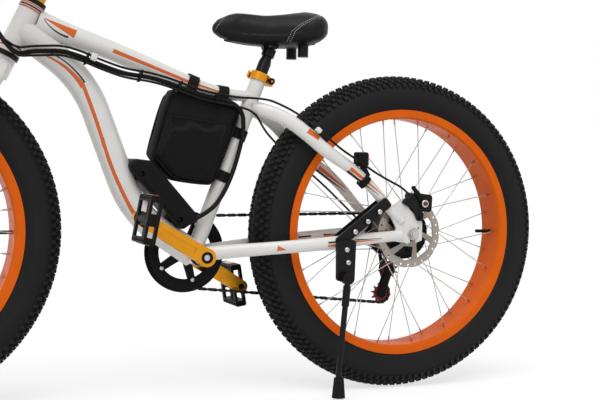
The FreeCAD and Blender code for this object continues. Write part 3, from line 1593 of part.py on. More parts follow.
def grip_shape(side, gap):
    """A ribbed rubber grip with a closed flange at its inner end."""
    length = size("grip_length")
    radius = size("grip_radius")
    start = bar_point(-3, side)
    solid = rod(start, bar_point(length, side), radius)
    flange = rod(bar_point(length - 5, side), bar_point(length, side), radius + 5)
    ribs = [rod(bar_point(at, side), bar_point(at + 4, side), radius + 1.2) for at in range(8, int(length) - 10, 9)]
    bore = rod(bar_point(-gap, side), bar_point(length + 1, side), size("bar_radius") + gap)
    return solid.multiFuse([flange] + ribs).cut(bore)


def lever_frame(side):
    """The pivot of a brake lever and the directions forward, outward and up."""
    inward = BAR_IN[side]
    drop = math.radians(size("lever_drop"))
    up = V(-math.cos(drop), 0, -math.sin(drop)).cross(inward) * side
    forward = inward.cross(up) * side
    place = bar_point(size("grip_length") + 24, side)
    return place, forward.normalize(), inward * -1, up.normalize()


def make_bar_controls():
    """Both brake lever clamps with their pivot pins, and the shifter beside the right one."""
    solids = []
    for side in (-1, 1):
        place, forward, outward, up = lever_frame(side)
        ring = rod(place - outward * 11, place + outward * 11, size("bar_radius") + 6)
        neck = rod(place, place + forward * 34, 9)
        pivot = place + forward * 40
        cheeks = [rod(pivot + up * low, pivot + up * (low + 5), 9) for low in (-12, 7)]
        block = rod(place + forward * 22 - up * 12, place + forward * 22 + up * 12, 9)
        bars = [rod(place + forward * 22 + up * at, pivot + up * at, 2.5) for at in (-9.5, 9.5)]
        pin = rod(pivot - up * 12, pivot + up * 12, 3)
        bore = rod(place - outward * 30, place + outward * 30, size("bar_radius") + 0.02)
        gap = rod(pivot - up * 7, pivot + up * 7, 12)
        body = ring.multiFuse([neck, block] + cheeks + bars).cut(group([bore, gap]))
        solids.append(body.fuse(pin))
    place, forward, outward, up = lever_frame(1)
    spot = place - outward * 32
    ring = rod(spot - outward * 8, spot + outward * 8, size("bar_radius") + 5)
    pod = rod(spot - up * 18.5 + forward * 4, spot - up * 31 + forward * 4, 20)
    neck = rod(spot, spot - up * 22, 7)
    bore = rod(spot - outward * 30, spot + outward * 30, size("bar_radius") + 0.02)
    solids.append(ring.multiFuse([pod, neck]).cut(bore))
    return feature("bar_controls", group(solids))


def make_brake_lever(label, side):
    """A two finger lever that turns on its pin and curves out along the grip."""
    place, forward, outward, up = lever_frame(side)
    pivot = place + forward * 40
    eye = rod(pivot - up * 6.7, pivot + up * 6.7, 7)
    route = [pivot, pivot + forward * 12 + outward * 26, pivot + forward * 6 + outward * 62,
             pivot + forward * 12 + outward * 100]
    blade = tube(route, 5)
    knob = Part.makeSphere(6.5, route[-1])
    bore = rod(pivot - up * 50, pivot + up * 50, 3 + RUN)
    return feature(label, eye.multiFuse([blade, knob]).cut(bore))


# Cables


LOOM_START = V(37, 0, 3).normalize()


def make_cables():
    """The loom to the controller, the rear brake and shift cables, and the loops from the bar."""
    loom = [
        (-262, -33, 742), (-225, -33, 745), (-188, -33, 737), (-140, -34, 719), (-90, -35, 704), (-40, -36, 700),
        (5, -37, 690), (45, -38, 676), (85, -38, 665), (125, -38, 659), (158, -36, 651), (178, -34, 629),
        (183, -26, 591), (174, -25, 548), (160, -26, 500), (141, -28, 458), (118, -32, 426), (92, -33, 407), (58, -31, 391),
    ]
    wires = tube([V(*p) for p in loom], size("loom_radius"))
    tools = [NODES["controller_case"].Shape]
    feature("wiring_loom", biggest(wires.cut(group(tools))))
    brake = [
        (-262, -42, 752), (-225, -42, 755), (-188, -42, 747), (-140, -43, 729), (-90, -44, 714), (-40, -45, 709),
        (5, -46, 699), (45, -47, 686), (85, -47, 675), (125, -46, 669), (165, -38, 665), (205, -28, 666),
        (240, -38, 663), (280, -56, 644), (312, -74, 622), (352, -90, 588), (392, -95, 556), (432, -105, 531),
        (470, -107, 507), (510, -104, 488), (545, -96, 474), (568, -92, 457),
    ]
    shift = [
        (-262, -42, 733), (-225, -42, 736), (-188, -42, 728), (-140, -43, 710), (-90, -44, 695), (-40, -45, 691),
        (5, -46, 681), (45, -47, 667), (85, -47, 656), (125, -47, 650), (160, -46, 645), (190, -42, 639),
        (214, -25, 627), (236, 4, 610), (262, 38, 592), (302, 66, 565), (342, 84, 536), (392, 101, 508),
        (442, 105, 470), (492, 105, 426), (540, 106, 384), (580, 112, 348), (594, 112, 315), (600, 100, 292),
    ]
    radius = size("cable_radius")
    solids = [tube([V(*p) for p in route], radius) for route in (brake, shift)]
    feature("control_cables", group(solids))
    starts = [(loom[0], size("loom_radius")), (brake[0], radius), (shift[0], radius)]
    place, forward, outward, up = lever_frame(1)
    pod = place - outward * 32 - up * 23 + forward * 24.3
    loop_starts = [
        [BAR + V(-12, 64, 12), BAR + V(-36, 44, 8), BAR + V(-58, 10, -22), BAR + V(-68, -24, -62)],
        [place + forward * 22 - outward * 9.3, place + forward * 30 - outward * 50, BAR + V(-66, 104, 4),
         BAR + V(-84, 50, -12), BAR + V(-88, 4, -40), BAR + V(-84, -34, -76)],
        [pod, pod + forward * 36 - outward * 12, BAR + V(-92, 96, -22), BAR + V(-104, 50, -36),
         BAR + V(-104, 4, -58), BAR + V(-94, -38, -86)],
    ]
    loops = []
    for k, (end, thick) in enumerate(starts):
        spread = (k - 1) * 9
        route = loop_starts[k] + [
            V(-384 - spread, -52 - k * 5, 806),
            V(-352 - spread * 0.5, -50 - k * 4, 765 + spread * 0.4),
            V(-316, end[1] - 6, end[2] - 8 + spread * 0.3),
            V(*end) - LOOM_START * 24,
            V(*end) - LOOM_START * GAP,
        ]
        loops.append(tube(route, thick))
    place, forward, outward, up = lever_frame(-1)
    hose = [
        place + forward * 22 - outward * 9.3,
        place + forward * 34 - outward * 50,
        place + forward * 48 - outward * 104 - up * 22,
        on_steer(-40) + STEER_FORE * 76 - Y * 76,
        on_steer(-110) + STEER_FORE * 44 - Y * 96,
        on_steer(-190) + STEER_FORE * 22 - Y * 101,
        on_steer(-270) + STEER_FORE * 14 - Y * 101,
        on_steer(-340) - STEER_FORE * 6 - Y * 99,
        on_steer(-392) - STEER_FORE * 40 - Y * 92,
        on_steer(-424) - STEER_FORE * 84 - Y * 80,
    ]
    loops.append(tube(hose, radius))
    feature("bar_cables", group(loops))


def build():
    make_rim("front_rim", FRONT)
    make_rim("rear_rim", REAR)
    make_tyre("front_tyre", FRONT)
    make_tyre("rear_tyre", REAR)
    make_inner_tube("front_inner_tube", FRONT)
    make_inner_tube("rear_inner_tube", REAR)
    make_hub_motor()
    make_front_hub()
    rear_flanges = [(-size("motor_flange_left"), -1), (size("motor_flange_right"), 1)]
    front_flanges = [(-size("hub_flange_offset"), -1), (size("hub_flange_offset"), 1)]
    make_spokes("rear_spokes", REAR, size("motor_hole_radius"), rear_flanges, 40)
    make_spokes("front_spokes", FRONT, size("hub_hole_radius"), front_flanges, 60)
    make_rotor("rear_rotor", REAR, size("rear_rotor_offset"))
    make_rotor("front_rotor", FRONT, size("front_rotor_offset"))
    hub_left = size("rear_rotor_offset + rotor_wall / 2") + GAP
    hub_right = size("chain_line + sprocket_step * 3 + 2") + GAP
    make_axle("rear_axle", REAR, size("rear_axle_radius"), size("rear_dropout_gap"), hub_left, hub_right)
    front_end = size("front_dropout_gap / 2 - 6.4") + GAP
    make_axle("front_axle", FRONT, size("front_axle_radius"), size("front_dropout_gap"), front_end, front_end)
    make_chain()
    make_freewheel()
    make_pulley("upper_pulley", 2)
    make_pulley("lower_pulley", 3)
    make_derailleur()
    make_crank_arms()
    make_crank_axles()
    make_chainring()
    make_pedal("left_pedal", LEFT_PEDAL, -1)
    make_pedal("right_pedal", RIGHT_PEDAL, 1)
    make_head_tube()
    make_top_tube()
    make_down_tube()
    make_seat_tube()
    make_chain_stays()
    make_seat_stays()
    make_bearing_cups()
    make_controller()
    make_bag()
    make_battery()
    make_stand_bracket()
    make_stand_leg()
    make_stand_foot()
    make_collar()
    make_collar_lever()
    make_seatpost()
    make_saddle_pad()
    make_saddle_base()
    make_saddle_rails()
    make_tail_light()
    make_fork()
    make_brakes()
    make_spacers()
    make_stem()
    make_handlebar()
    feature("left_grip", grip_shape(-1, 0.02))
    feature("throttle_grip", grip_shape(1, RUN))
    make_bar_controls()
    make_brake_lever("left_brake_lever", -1)
    make_brake_lever("right_brake_lever", 1)
    make_cables()


def check_and_write():
    doc.recompute()
    for item in doc.Objects:
        if "Invalid" in item.State or "Error" in item.State:
            raise ValueError(f"{item.Label} failed")
    os.makedirs("parts", exist_ok=True)
    for label, item in NODES.items():
        if item.Shape.isNull() or not item.Shape.isValid() or not item.Shape.Solids:
            raise ValueError(f"{label} has no valid solid")
    for label, item in NODES.items():
        item.Shape.exportStep(f"parts/{label}.step")


build()
check_and_write()
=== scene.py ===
import math

import bmesh
import bpy
from bpy.props import FloatProperty, FloatVectorProperty, PointerProperty
from bpy.types import Operator, Panel, PropertyGroup
from mathutils import Matrix, Vector
from mathutils.bvhtree import BVHTree
from mathutils.kdtree import KDTree


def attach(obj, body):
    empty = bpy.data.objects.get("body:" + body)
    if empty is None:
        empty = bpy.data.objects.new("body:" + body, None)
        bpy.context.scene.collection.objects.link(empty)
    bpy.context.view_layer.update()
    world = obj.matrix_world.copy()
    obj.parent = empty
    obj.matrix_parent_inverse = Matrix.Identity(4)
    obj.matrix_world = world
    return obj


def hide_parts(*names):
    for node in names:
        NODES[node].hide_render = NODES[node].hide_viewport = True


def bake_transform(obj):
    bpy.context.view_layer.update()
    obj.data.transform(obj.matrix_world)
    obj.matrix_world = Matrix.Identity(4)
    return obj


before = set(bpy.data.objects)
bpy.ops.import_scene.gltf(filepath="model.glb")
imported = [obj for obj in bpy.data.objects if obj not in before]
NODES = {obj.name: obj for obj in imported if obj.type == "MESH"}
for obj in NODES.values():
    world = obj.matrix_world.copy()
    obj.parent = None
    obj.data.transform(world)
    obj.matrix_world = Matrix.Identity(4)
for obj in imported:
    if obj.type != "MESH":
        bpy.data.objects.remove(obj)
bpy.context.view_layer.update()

bl_info = {
    "name": "Fat tyre bike dresser",
    "version": (1, 0, 0),
    "blender": (4, 5, 0),
    "location": "View3D > Sidebar > Fat bike",
    "description": "Gives the packed fat tyre bike its finishes, soft goods, fasteners and studio",
    "category": "Object",
}

# The bike's own directions and reference points, in metres
MM = 0.001
LEFT = Vector((0, -1, 0))
FRONT_AXLE = Vector((-0.580, 0, 0.367))
REAR_AXLE = Vector((0.580, 0, 0.367))
BRACKET = Vector((0.080, 0, 0.318))
STEER_UP = Vector((math.sin(math.radians(26)), 0, math.cos(math.radians(26))))
STEER_FORE = Vector((-STEER_UP.z, 0, STEER_UP.x))
HEAD_TOP = Vector((-0.2785, 0, 0.838))
SEAT_UP = Vector((math.sin(math.radians(20.4)), 0, math.cos(math.radians(20.4))))
SEAT_BACK = Vector((SEAT_UP.z, 0, -SEAT_UP.x))
SEAT_TOP = BRACKET + SEAT_UP * 0.428
REAR_PIN = REAR_AXLE + Vector((24, 0, 70)) * MM
REAR_LUGS = [REAR_AXLE + Vector((x, 0, z)) * MM for x, z in ((-25, 73), (15, 36))]
TO_FRONT = Matrix.Rotation(math.radians(78), 3, "Y")
FRONT_PIN = FRONT_AXLE + TO_FRONT @ (REAR_PIN - REAR_AXLE)
FRONT_LUGS = [FRONT_AXLE + TO_FRONT @ (lug - REAR_AXLE) for lug in REAR_LUGS]
HOSE_RADIUS = 0.0025
PEDALS = {-1: Vector((-0.06722, 0, 0.403)), 1: Vector((0.22722, 0, 0.233))}


def colour(label, text, value):
    """A colour that a user may change."""
    return FloatVectorProperty(name=label, description=text, default=value, size=3, min=0, max=1,
                               subtype="COLOR")


def length(label, text, value):
    """A length in metres that a user may change."""
    return FloatProperty(name=label, description=text, default=value, min=0, unit="LENGTH")


class BikeColours(PropertyGroup):
    """The colours of the bike's finishes."""
    frame_white: colour("Frame white", "Main colour of the frame and fork", (0.70, 0.69, 0.66))
    stripe_orange: colour("Stripe orange", "Orange of the painted stripes", (0.60, 0.105, 0.008))
    stripe_black: colour("Stripe black", "Black of the painted stripes", (0.012, 0.012, 0.013))
    rim_orange: colour("Rim orange", "Colour of the wheel rims", (0.68, 0.112, 0.005))
    gold: colour("Gold", "Anodised cranks, spacers and seat clamp", (0.70, 0.29, 0.012))
    rubber: colour("Tyre rubber", "Main colour of the tyres", (0.0075, 0.0073, 0.0072))
    textile: colour("Bag textile", "Main colour of the bag and straps", (0.0050, 0.0049, 0.0049))
    vinyl: colour("Saddle vinyl", "Main colour of the saddle cover", (0.0050, 0.0049, 0.0050))
    plastic: colour("Black plastic", "Controller case, pedals and levers", (0.0048, 0.0047, 0.0048))
    steel: colour("Steel", "Spokes, bolts and axles", (0.58, 0.575, 0.56))
    disc: colour("Disc steel", "Brake discs", (0.36, 0.315, 0.27))
    thread: colour("Thread", "Stitching of the saddle", (0.58, 0.55, 0.51))
    lens_red: colour("Lens red", "Lens of the tail light", (0.45, 0.006, 0.010))


class BikeSizes(PropertyGroup):
    """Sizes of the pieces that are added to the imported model."""
    stitch_length: length("Stitch length", "Length of one stitch", 0.0034)
    stitch_gap: length("Stitch gap", "Space between stitches", 0.0016)
    stitch_radius: length("Stitch radius", "Half the thickness of the thread", 0.0005)
    stitch_rows: length("Stitch row offset", "Distance of a stitch row from its seam", 0.0026)
    seam_depth: length("Seam depth", "How far a seam is drawn in", 0.0013)
    saddle_swell: length("Saddle swell", "Most that the saddle's padding may swell", 0.004)
    bag_swell: length("Bag swell", "Most that the bag's walls may swell", 0.0045)
    piping_radius: length("Piping radius", "Half the thickness of the bag's piping", 0.0023)
    strap_wall: length("Strap thickness", "Thickness of the webbing straps", 0.0016)
    strap_width: length("Strap width", "Width of the webbing straps", 0.024)


class StudioSettings(PropertyGroup):
    """The camera and the light of the studio."""
    camera_place: FloatVectorProperty(
        name="Camera place", description="Where the camera stands", default=(-0.6883, -2.4003, 0.5309),
        size=3, subtype="TRANSLATION", unit="LENGTH")
    yaw: FloatProperty(name="Yaw", description="Turn towards the back wheel",
                       default=math.radians(23.066), subtype="ANGLE")
    pitch: FloatProperty(name="Pitch", description="Tilt above the level",
                         default=math.radians(-2.011), subtype="ANGLE")
    roll: FloatProperty(name="Roll", description="Turn about the view line",
                        default=math.radians(1.355), subtype="ANGLE")
    lens: FloatProperty(name="Lens", description="Focal length in millimetres", default=68.27, min=1)
    ambient: FloatProperty(name="Ambient light", description="Strength of the light from all round",
                           default=0.50, min=0)
    key: FloatProperty(name="Key light", description="Strength of the soft light from above",
                       default=2.1, min=0)


def colours():
    return bpy.context.scene.bike_colours


def sizes():
    return bpy.context.scene.bike_sizes


# Shapes


def mm(x, y, z):
    """A point given in millimetres."""
    return Vector((x, y, z)) * MM


def frame_of(along, side):
    """A rotation whose Z runs along one direction and whose X leans to another."""
    z = Vector(along).normalized()
    y = z.cross(Vector(side)).normalized()
    x = y.cross(z)
    return Matrix((x, y, z)).transposed().to_4x4()


def turn(bm, profile, centre, axis, steps=24):
    """Spin corners of radius and height about an axis through a centre."""
    axis = Vector(axis).normalized()
    side = axis.orthogonal().normalized()
    corners = [bm.verts.new(centre + side * radius + axis * height) for radius, height in profile]
    lines = [bm.edges.new(pair) for pair in zip(corners, corners[1:])]
    bmesh.ops.spin(bm, geom=corners + lines, cent=centre, axis=axis, dvec=(0, 0, 0),
                   angle=math.tau, steps=steps, use_merge=True)
    bmesh.ops.remove_doubles(bm, verts=bm.verts, dist=1e-7)


def block(bm, size, place, rounding, segments=2):
    """A rounded block of a given size, set by a matrix."""
    made = bmesh.ops.create_cube(bm, size=1, matrix=place @ Matrix.Diagonal((*size, 1)))
    edges = {edge for vert in made["verts"] for edge in vert.link_edges}
    bmesh.ops.bevel(bm, geom=list(edges), offset=rounding, segments=segments, profile=0.5,
                    affect="EDGES", material=-1)


def prism(bm, corners, shift, rounding, segments=2):
    """A flat outline made thick along a shift, with rounded edges."""
    face = bm.faces.new([bm.verts.new(corner) for corner in corners])
    made = bmesh.ops.extrude_face_region(bm, geom=[face])
    moved = [item for item in made["geom"] if isinstance(item, bmesh.types.BMVert)]
    bmesh.ops.translate(bm, verts=moved, vec=shift)
    edges = {edge for vert in moved for edge in vert.link_edges} | set(face.edges)
    bmesh.ops.bevel(bm, geom=list(edges), offset=rounding, segments=segments, profile=0.5,
                    affect="EDGES", material=-1)


def route_mesh(points, radius, cyclic=False, sides=2, steps=6):
    """A round tube along a smooth line through its control points."""
    curve = bpy.data.curves.new("route", "CURVE")
    curve.dimensions = "3D"
    curve.bevel_depth = radius
    curve.bevel_resolution = sides
    curve.use_fill_caps = True
    spline = curve.splines.new("NURBS")
    spline.points.add(len(points) - 1)
    for knot, point in zip(spline.points, points):
        knot.co = (*point, 1)
    spline.use_cyclic_u = cyclic
    spline.use_endpoint_u = not cyclic
    spline.order_u = 3
    spline.resolution_u = steps
    holder = bpy.data.objects.new("route", curve)
    mesh = bpy.data.meshes.new_from_object(holder)
    bpy.data.objects.remove(holder)
    bpy.data.curves.remove(curve)
    return mesh


def pipe(bm, points, radius, **options):
    """Add a tube along a smooth line."""
    mesh = route_mesh(points, radius, **options)
    bm.from_mesh(mesh)
    bpy.data.meshes.remove(mesh)


def band(bm, outline, width, wall, place, cyclic=True):
    """A flat strap bent along an outline of two coordinates, as wide as its tube is long."""
    curve = bpy.data.curves.new("strap", "CURVE")
    curve.dimensions = "2D"
    curve.fill_mode = "NONE"
    curve.extrude = width / 2
    spline = curve.splines.new("NURBS")
    spline.points.add(len(outline) - 1)
    for knot, (a, b) in zip(spline.points, outline):
        knot.co = (a, b, 0, 1)
    spline.use_cyclic_u = cyclic
    spline.use_endpoint_u = not cyclic
    spline.order_u = 3
    spline.resolution_u = 8
    holder = bpy.data.objects.new("strap", curve)
    mesh = bpy.data.meshes.new_from_object(holder)
    bpy.data.objects.remove(holder)
    bpy.data.curves.remove(curve)
    part = bmesh.new()
    part.from_mesh(mesh)
    bmesh.ops.remove_doubles(part, verts=part.verts, dist=1e-6)
    bmesh.ops.recalc_face_normals(part, faces=part.faces)
    bmesh.ops.solidify(part, geom=part.faces, thickness=wall)
    bmesh.ops.transform(part, matrix=place, verts=part.verts)
    part.to_mesh(mesh)
    part.free()
    bm.from_mesh(mesh)
    bpy.data.meshes.remove(mesh)


def socket_bolt(bm, centre, axis, radius=0.005, height=0.005, steps=16):
    """A round bolt head with a rounded rim and a sunk socket."""
    hollow = radius * 0.52
    profile = [(0, -height * 0.2), (radius * 0.9, -height * 0.2), (radius, 0), (radius, height * 0.75),
               (radius * 0.82, height), (hollow, height), (hollow, height * 0.35), (0, height * 0.3)]
    turn(bm, profile, centre, axis, steps)


def polish(bm, sharp):
    """Close, orient and shade a mesh, with its sharp edges kept."""
    bmesh.ops.remove_doubles(bm, verts=bm.verts, dist=1e-6)
    bmesh.ops.recalc_face_normals(bm, faces=bm.faces)
    crease(bm, sharp)


def crease(bm, sharp):
    for face in bm.faces:
        face.smooth = True
    for edge in bm.edges:
        edge.smooth = len(edge.link_faces) == 2 and edge.calc_face_angle(0) < math.radians(sharp)


def settle(name, bm, materials, body, sharp=38):
    """Make a piece of a bmesh, give it its finishes and let it ride on a body."""
    polish(bm, sharp)
    return placed(name, bm, materials, body)


def placed(name, bm, materials, body):
    mesh = bpy.data.meshes.new(name)
    bm.to_mesh(mesh)
    bm.free()
    for material in materials if isinstance(materials, list) else [materials]:
        mesh.materials.append(material)
    item = bpy.data.objects.new(name, mesh)
    bpy.context.scene.collection.objects.link(item)
    if body:
        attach(item, body)
    return item


def merged_copy(node):
    """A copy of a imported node's mesh with its triangles joined."""
    bm = bmesh.new()
    bm.from_mesh(NODES[node].data)
    bmesh.ops.remove_doubles(bm, verts=bm.verts, dist=2e-6)
    bmesh.ops.dissolve_degenerate(bm, edges=bm.edges, dist=1e-7)
    return bm


def smooth_stand_in(node, material, body, sharp=32):
    """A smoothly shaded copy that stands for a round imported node."""
    bm = merged_copy(node)
    crease(bm, sharp)
    item = placed(node + "_shell", bm, material, body)
    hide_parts(node)
    return item


def islands_of(verts):
    """The separate shells among a mesh's corners."""
    islands = []
    todo = set(verts)
    while todo:
        reached = [todo.pop()]
        for vert in reached:
            for edge in vert.link_edges:
                other = edge.other_vert(vert)
                if other in todo:
                    todo.remove(other)
                    reached.append(other)
        islands.append(reached)
    return islands


def swell(item, voxel, cap, share):
    """Voxel remesh a soft piece and let pressure fill it, with each move capped."""
    remesh = item.modifiers.new("even", "REMESH")
    remesh.mode = "VOXEL"
    remesh.voxel_size = voxel
    bake(item)
    before = [vert.co.copy() for vert in item.data.vertices]
    normals = [vert.normal.copy() for vert in item.data.vertices]
    cloth = item.modifiers.new("padding", "CLOTH")
    cloth.settings.use_pressure = True
    cloth.settings.uniform_pressure_force = 4
    cloth.settings.effector_weights.gravity = 0
    scene = bpy.context.scene
    for number in range(1, 21):
        scene.frame_set(number)
    solved = item.evaluated_get(bpy.context.evaluated_depsgraph_get())
    after = [vert.co.copy() for vert in solved.data.vertices]
    item.modifiers.remove(cloth)
    scene.frame_set(1)
    for vert, old, new, normal in zip(item.data.vertices, before, after, normals):
        move = (new - old) * share(normal)
        if move.length > cap:
            move.length = cap
        vert.co = old + move


def bake(item):
    """Apply an item's modifiers to its mesh."""
    solved = item.evaluated_get(bpy.context.evaluated_depsgraph_get())
    mesh = bpy.data.meshes.new_from_object(solved)
    old = item.data
    name = old.name
    item.modifiers.clear()
    item.data = mesh
    bpy.data.meshes.remove(old)
    mesh.name = name
    for face in mesh.polygons:
        face.use_smooth = True


def refine(item):
    """One level of subdivision, applied."""
    division = item.modifiers.new("division", "SUBSURF")
    division.levels = 1
    division.render_levels = 1
    bake(item)


def press_seams(item, distance, depth):
    """Draw the cover in along its seams."""
    for vert in item.data.vertices:
        near = distance(vert.co) / 0.0028
        if near < 3:
            vert.co -= vert.normal * depth * math.exp(-near * near)


def lay_stitches(bm, path):
    """Short thread bars along a path of points on a surface."""
    step = sizes().stitch_length + sizes().stitch_gap
    walked = 0.0
    due = 0.0
    for start, end in zip(path, path[1:]):
        run = (end - start).length
        if run > 0.02:
            continue
        while due <= walked + run:
            middle = start + (end - start) * ((due - walked) / max(run, 1e-9))
            heading = (end - start).normalized()
            place = Matrix.Translation(middle) @ frame_of(heading, (0.21, 0.33, 0.92))
            bmesh.ops.create_cone(bm, cap_ends=True, segments=6, radius1=sizes().stitch_radius,
                                  radius2=sizes().stitch_radius, depth=sizes().stitch_length, matrix=place)
            due += step
        walked += run


def paint(nodes, material):
    """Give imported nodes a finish."""
    for node in nodes:
        mesh = NODES[node].data
        mesh.materials.clear()
        mesh.materials.append(material)


# Finishes


def made_once(function):
    """Keep a node group or a finish after its first making."""
    kept = {}

    def ask(*values):
        if values not in kept:
            kept[values] = function(*values)
        return kept[values]
    return ask


def put(tree, kind, inputs=None, **settings):
    """Add a node; its inputs are set to numbers or linked to sockets."""
    item = tree.nodes.new(kind)
    for name, value in settings.items():
        setattr(item, name, value)
    for key, value in (inputs or {}).items():
        if isinstance(value, bpy.types.NodeSocket):
            tree.links.new(value, item.inputs[key])
        else:
            item.inputs[key].default_value = value
    return item


def calc(tree, operation, *values):
    """One step of arithmetic."""
    return put(tree, "ShaderNodeMath", dict(enumerate(values)), operation=operation).outputs[0]


def times(tree, first, second):
    return calc(tree, "MULTIPLY", first, second)


def plus(tree, first, second):
    return calc(tree, "ADD", first, second)


def minus(tree, first, second):
    return calc(tree, "SUBTRACT", first, second)


def reach_of(tree, x, z):
    """The distance of a place from the origin in the side view."""
    return calc(tree, "SQRT", plus(tree, times(tree, x, x), times(tree, z, z)))


def tinted(tree, mask, first, second):
    """A colour that goes from the first to the second where the mask is one."""
    values = {0: mask, 6: rgba(first), 7: rgba(second)}
    return put(tree, "ShaderNodeMix", values, data_type="RGBA").outputs[2]


def rgba(value):
    return value if isinstance(value, bpy.types.NodeSocket) else (*value[:3], 1)


def ranged(tree, value, low, high, new_low, new_high):
    values = {0: value, 1: low, 2: high, 3: new_low, 4: new_high}
    return put(tree, "ShaderNodeMapRange", values, clamp=True).outputs[0]


def new_group(name, inputs, outputs):
    """A node group with named sockets; returns the tree, its inputs and its output node."""
    tree = bpy.data.node_groups.new(name, "ShaderNodeTree")
    for label, kind in inputs:
        tree.interface.new_socket(label, in_out="INPUT", socket_type=kind)
    for label in outputs:
        tree.interface.new_socket(label, in_out="OUTPUT", socket_type="NodeSocketFloat")
    source = tree.nodes.new("NodeGroupInput").outputs
    return tree, source, tree.nodes.new("NodeGroupOutput")


NUMBER = "NodeSocketFloat"
POINT = "NodeSocketVector"


@made_once
def grain_group():
    """Fine and broad unevenness: a tint from 0 to 1 and a height."""
    inputs = [("Place", POINT), ("Scale", NUMBER)]
    tree, source, sink = new_group("surface_grain", inputs, ["Tint", "Height"])
    wide = times(tree, source["Scale"], 0.06)
    broad = put(tree, "ShaderNodeTexNoise", {"Vector": source["Place"], "Scale": wide, "Detail": 3.0})
    narrow = source["Scale"]
    fine = put(tree, "ShaderNodeTexNoise", {"Vector": source["Place"], "Scale": narrow, "Detail": 4.0})
    tree.links.new(ranged(tree, broad.outputs[0], 0.3, 0.7, 0.0, 1.0), sink.inputs["Tint"])
    tree.links.new(fine.outputs[0], sink.inputs["Height"])
    return tree


@made_once
def stripe_group():
    """A straight painted stripe in the side view that tapers from its start to its end."""
    names = ["Start X", "Start Z", "Angle", "Length", "Start Width", "End Width"]
    inputs = [("Place", POINT)] + [(name, NUMBER) for name in names]
    tree, source, sink = new_group("painted_stripe", inputs, ["Mask"])
    split = put(tree, "ShaderNodeSeparateXYZ", {0: source["Place"]}).outputs
    x = minus(tree, split[0], source["Start X"])
    z = minus(tree, split[2], source["Start Z"])
    cosine = calc(tree, "COSINE", source["Angle"])
    sine = calc(tree, "SINE", source["Angle"])
    along = plus(tree, times(tree, x, cosine), times(tree, z, sine))
    across = minus(tree, times(tree, z, cosine), times(tree, x, sine))
    share = calc(tree, "DIVIDE", along, source["Length"])
    spread = minus(tree, source["End Width"], source["Start Width"])
    width = plus(tree, source["Start Width"], times(tree, spread, share))
    inside = calc(tree, "LESS_THAN", calc(tree, "ABSOLUTE", across), times(tree, width, 0.5))
    within = calc(tree, "LESS_THAN", calc(tree, "ABSOLUTE", minus(tree, share, 0.5)), 0.5)
    tree.links.new(times(tree, inside, within), sink.inputs["Mask"])
    return tree


@made_once
def arc_group():
    """A curved painted line in the side view, part of a circle."""
    names = ["Centre X", "Centre Z", "Radius", "Middle Angle", "Half Span", "Low Width", "High Width"]
    inputs = [("Place", POINT)] + [(name, NUMBER) for name in names]
    tree, source, sink = new_group("painted_arc", inputs, ["Mask"])
    split = put(tree, "ShaderNodeSeparateXYZ", {0: source["Place"]}).outputs
    x = minus(tree, split[0], source["Centre X"])
    z = minus(tree, split[2], source["Centre Z"])
    reach = reach_of(tree, x, z)
    angle = minus(tree, calc(tree, "ARCTAN2", z, x), source["Middle Angle"])
    angle = calc(tree, "WRAP", angle, math.pi, -math.pi)
    within = calc(tree, "LESS_THAN", calc(tree, "ABSOLUTE", angle), source["Half Span"])
    off = calc(tree, "ABSOLUTE", minus(tree, reach, source["Radius"]))
    share = plus(tree, calc(tree, "DIVIDE", times(tree, angle, 0.5), source["Half Span"]), 0.5)
    spread = minus(tree, source["High Width"], source["Low Width"])
    width = plus(tree, source["Low Width"], times(tree, spread, share))
    inside = calc(tree, "LESS_THAN", off, times(tree, width, 0.5))
    tree.links.new(times(tree, inside, within), sink.inputs["Mask"])
    return tree


@made_once
def rings_group():
    """Rings round a wheel's axle: a fine turned line, and the distance from the axle."""
    inputs = [("Place", POINT), ("Centre X", NUMBER), ("Centre Z", NUMBER), ("Scale", NUMBER)]
    tree, source, sink = new_group("turned_rings", inputs, ["Line", "Reach"])
    split = put(tree, "ShaderNodeSeparateXYZ", {0: source["Place"]}).outputs
    x = minus(tree, split[0], source["Centre X"])
    z = minus(tree, split[2], source["Centre Z"])
    reach = reach_of(tree, x, z)
    along = put(tree, "ShaderNodeCombineXYZ", {0: times(tree, reach, source["Scale"]), 1: split[1]})
    line = put(tree, "ShaderNodeTexNoise", {"Vector": along.outputs[0], "Scale": 1.0, "Detail": 3.0})
    tree.links.new(line.outputs[0], sink.inputs["Line"])
    tree.links.new(reach, sink.inputs["Reach"])
    return tree


@made_once
def weave_group():
    """A plain weave seen from the side of the bike and from above."""
    inputs = [("Place", POINT), ("Threads", NUMBER)]
    tree, source, sink = new_group("plain_weave", inputs, ["Height", "Tint"])
    split = put(tree, "ShaderNodeSeparateXYZ", {0: source["Place"]}).outputs
    turns = times(tree, source["Threads"], math.tau)
    warp = calc(tree, "SINE", times(tree, plus(tree, split[0], split[1]), turns))
    risen = plus(tree, split[2], times(tree, split[1], 0.5))
    weft = calc(tree, "SINE", times(tree, risen, turns))
    height = plus(tree, times(tree, times(tree, warp, weft), 0.5), 0.5)
    noise = put(tree, "ShaderNodeTexNoise", {"Vector": source["Place"], "Scale": 40.0, "Detail": 4.0})
    tree.links.new(height, sink.inputs["Height"])
    tree.links.new(ranged(tree, noise.outputs[0], 0.3, 0.7, 0.0, 1.0), sink.inputs["Tint"])
    return tree


def placed_group(tree, group, inputs):
    """A node group in a material, with its own values."""
    return put(tree, "ShaderNodeGroup", inputs, node_tree=group).outputs


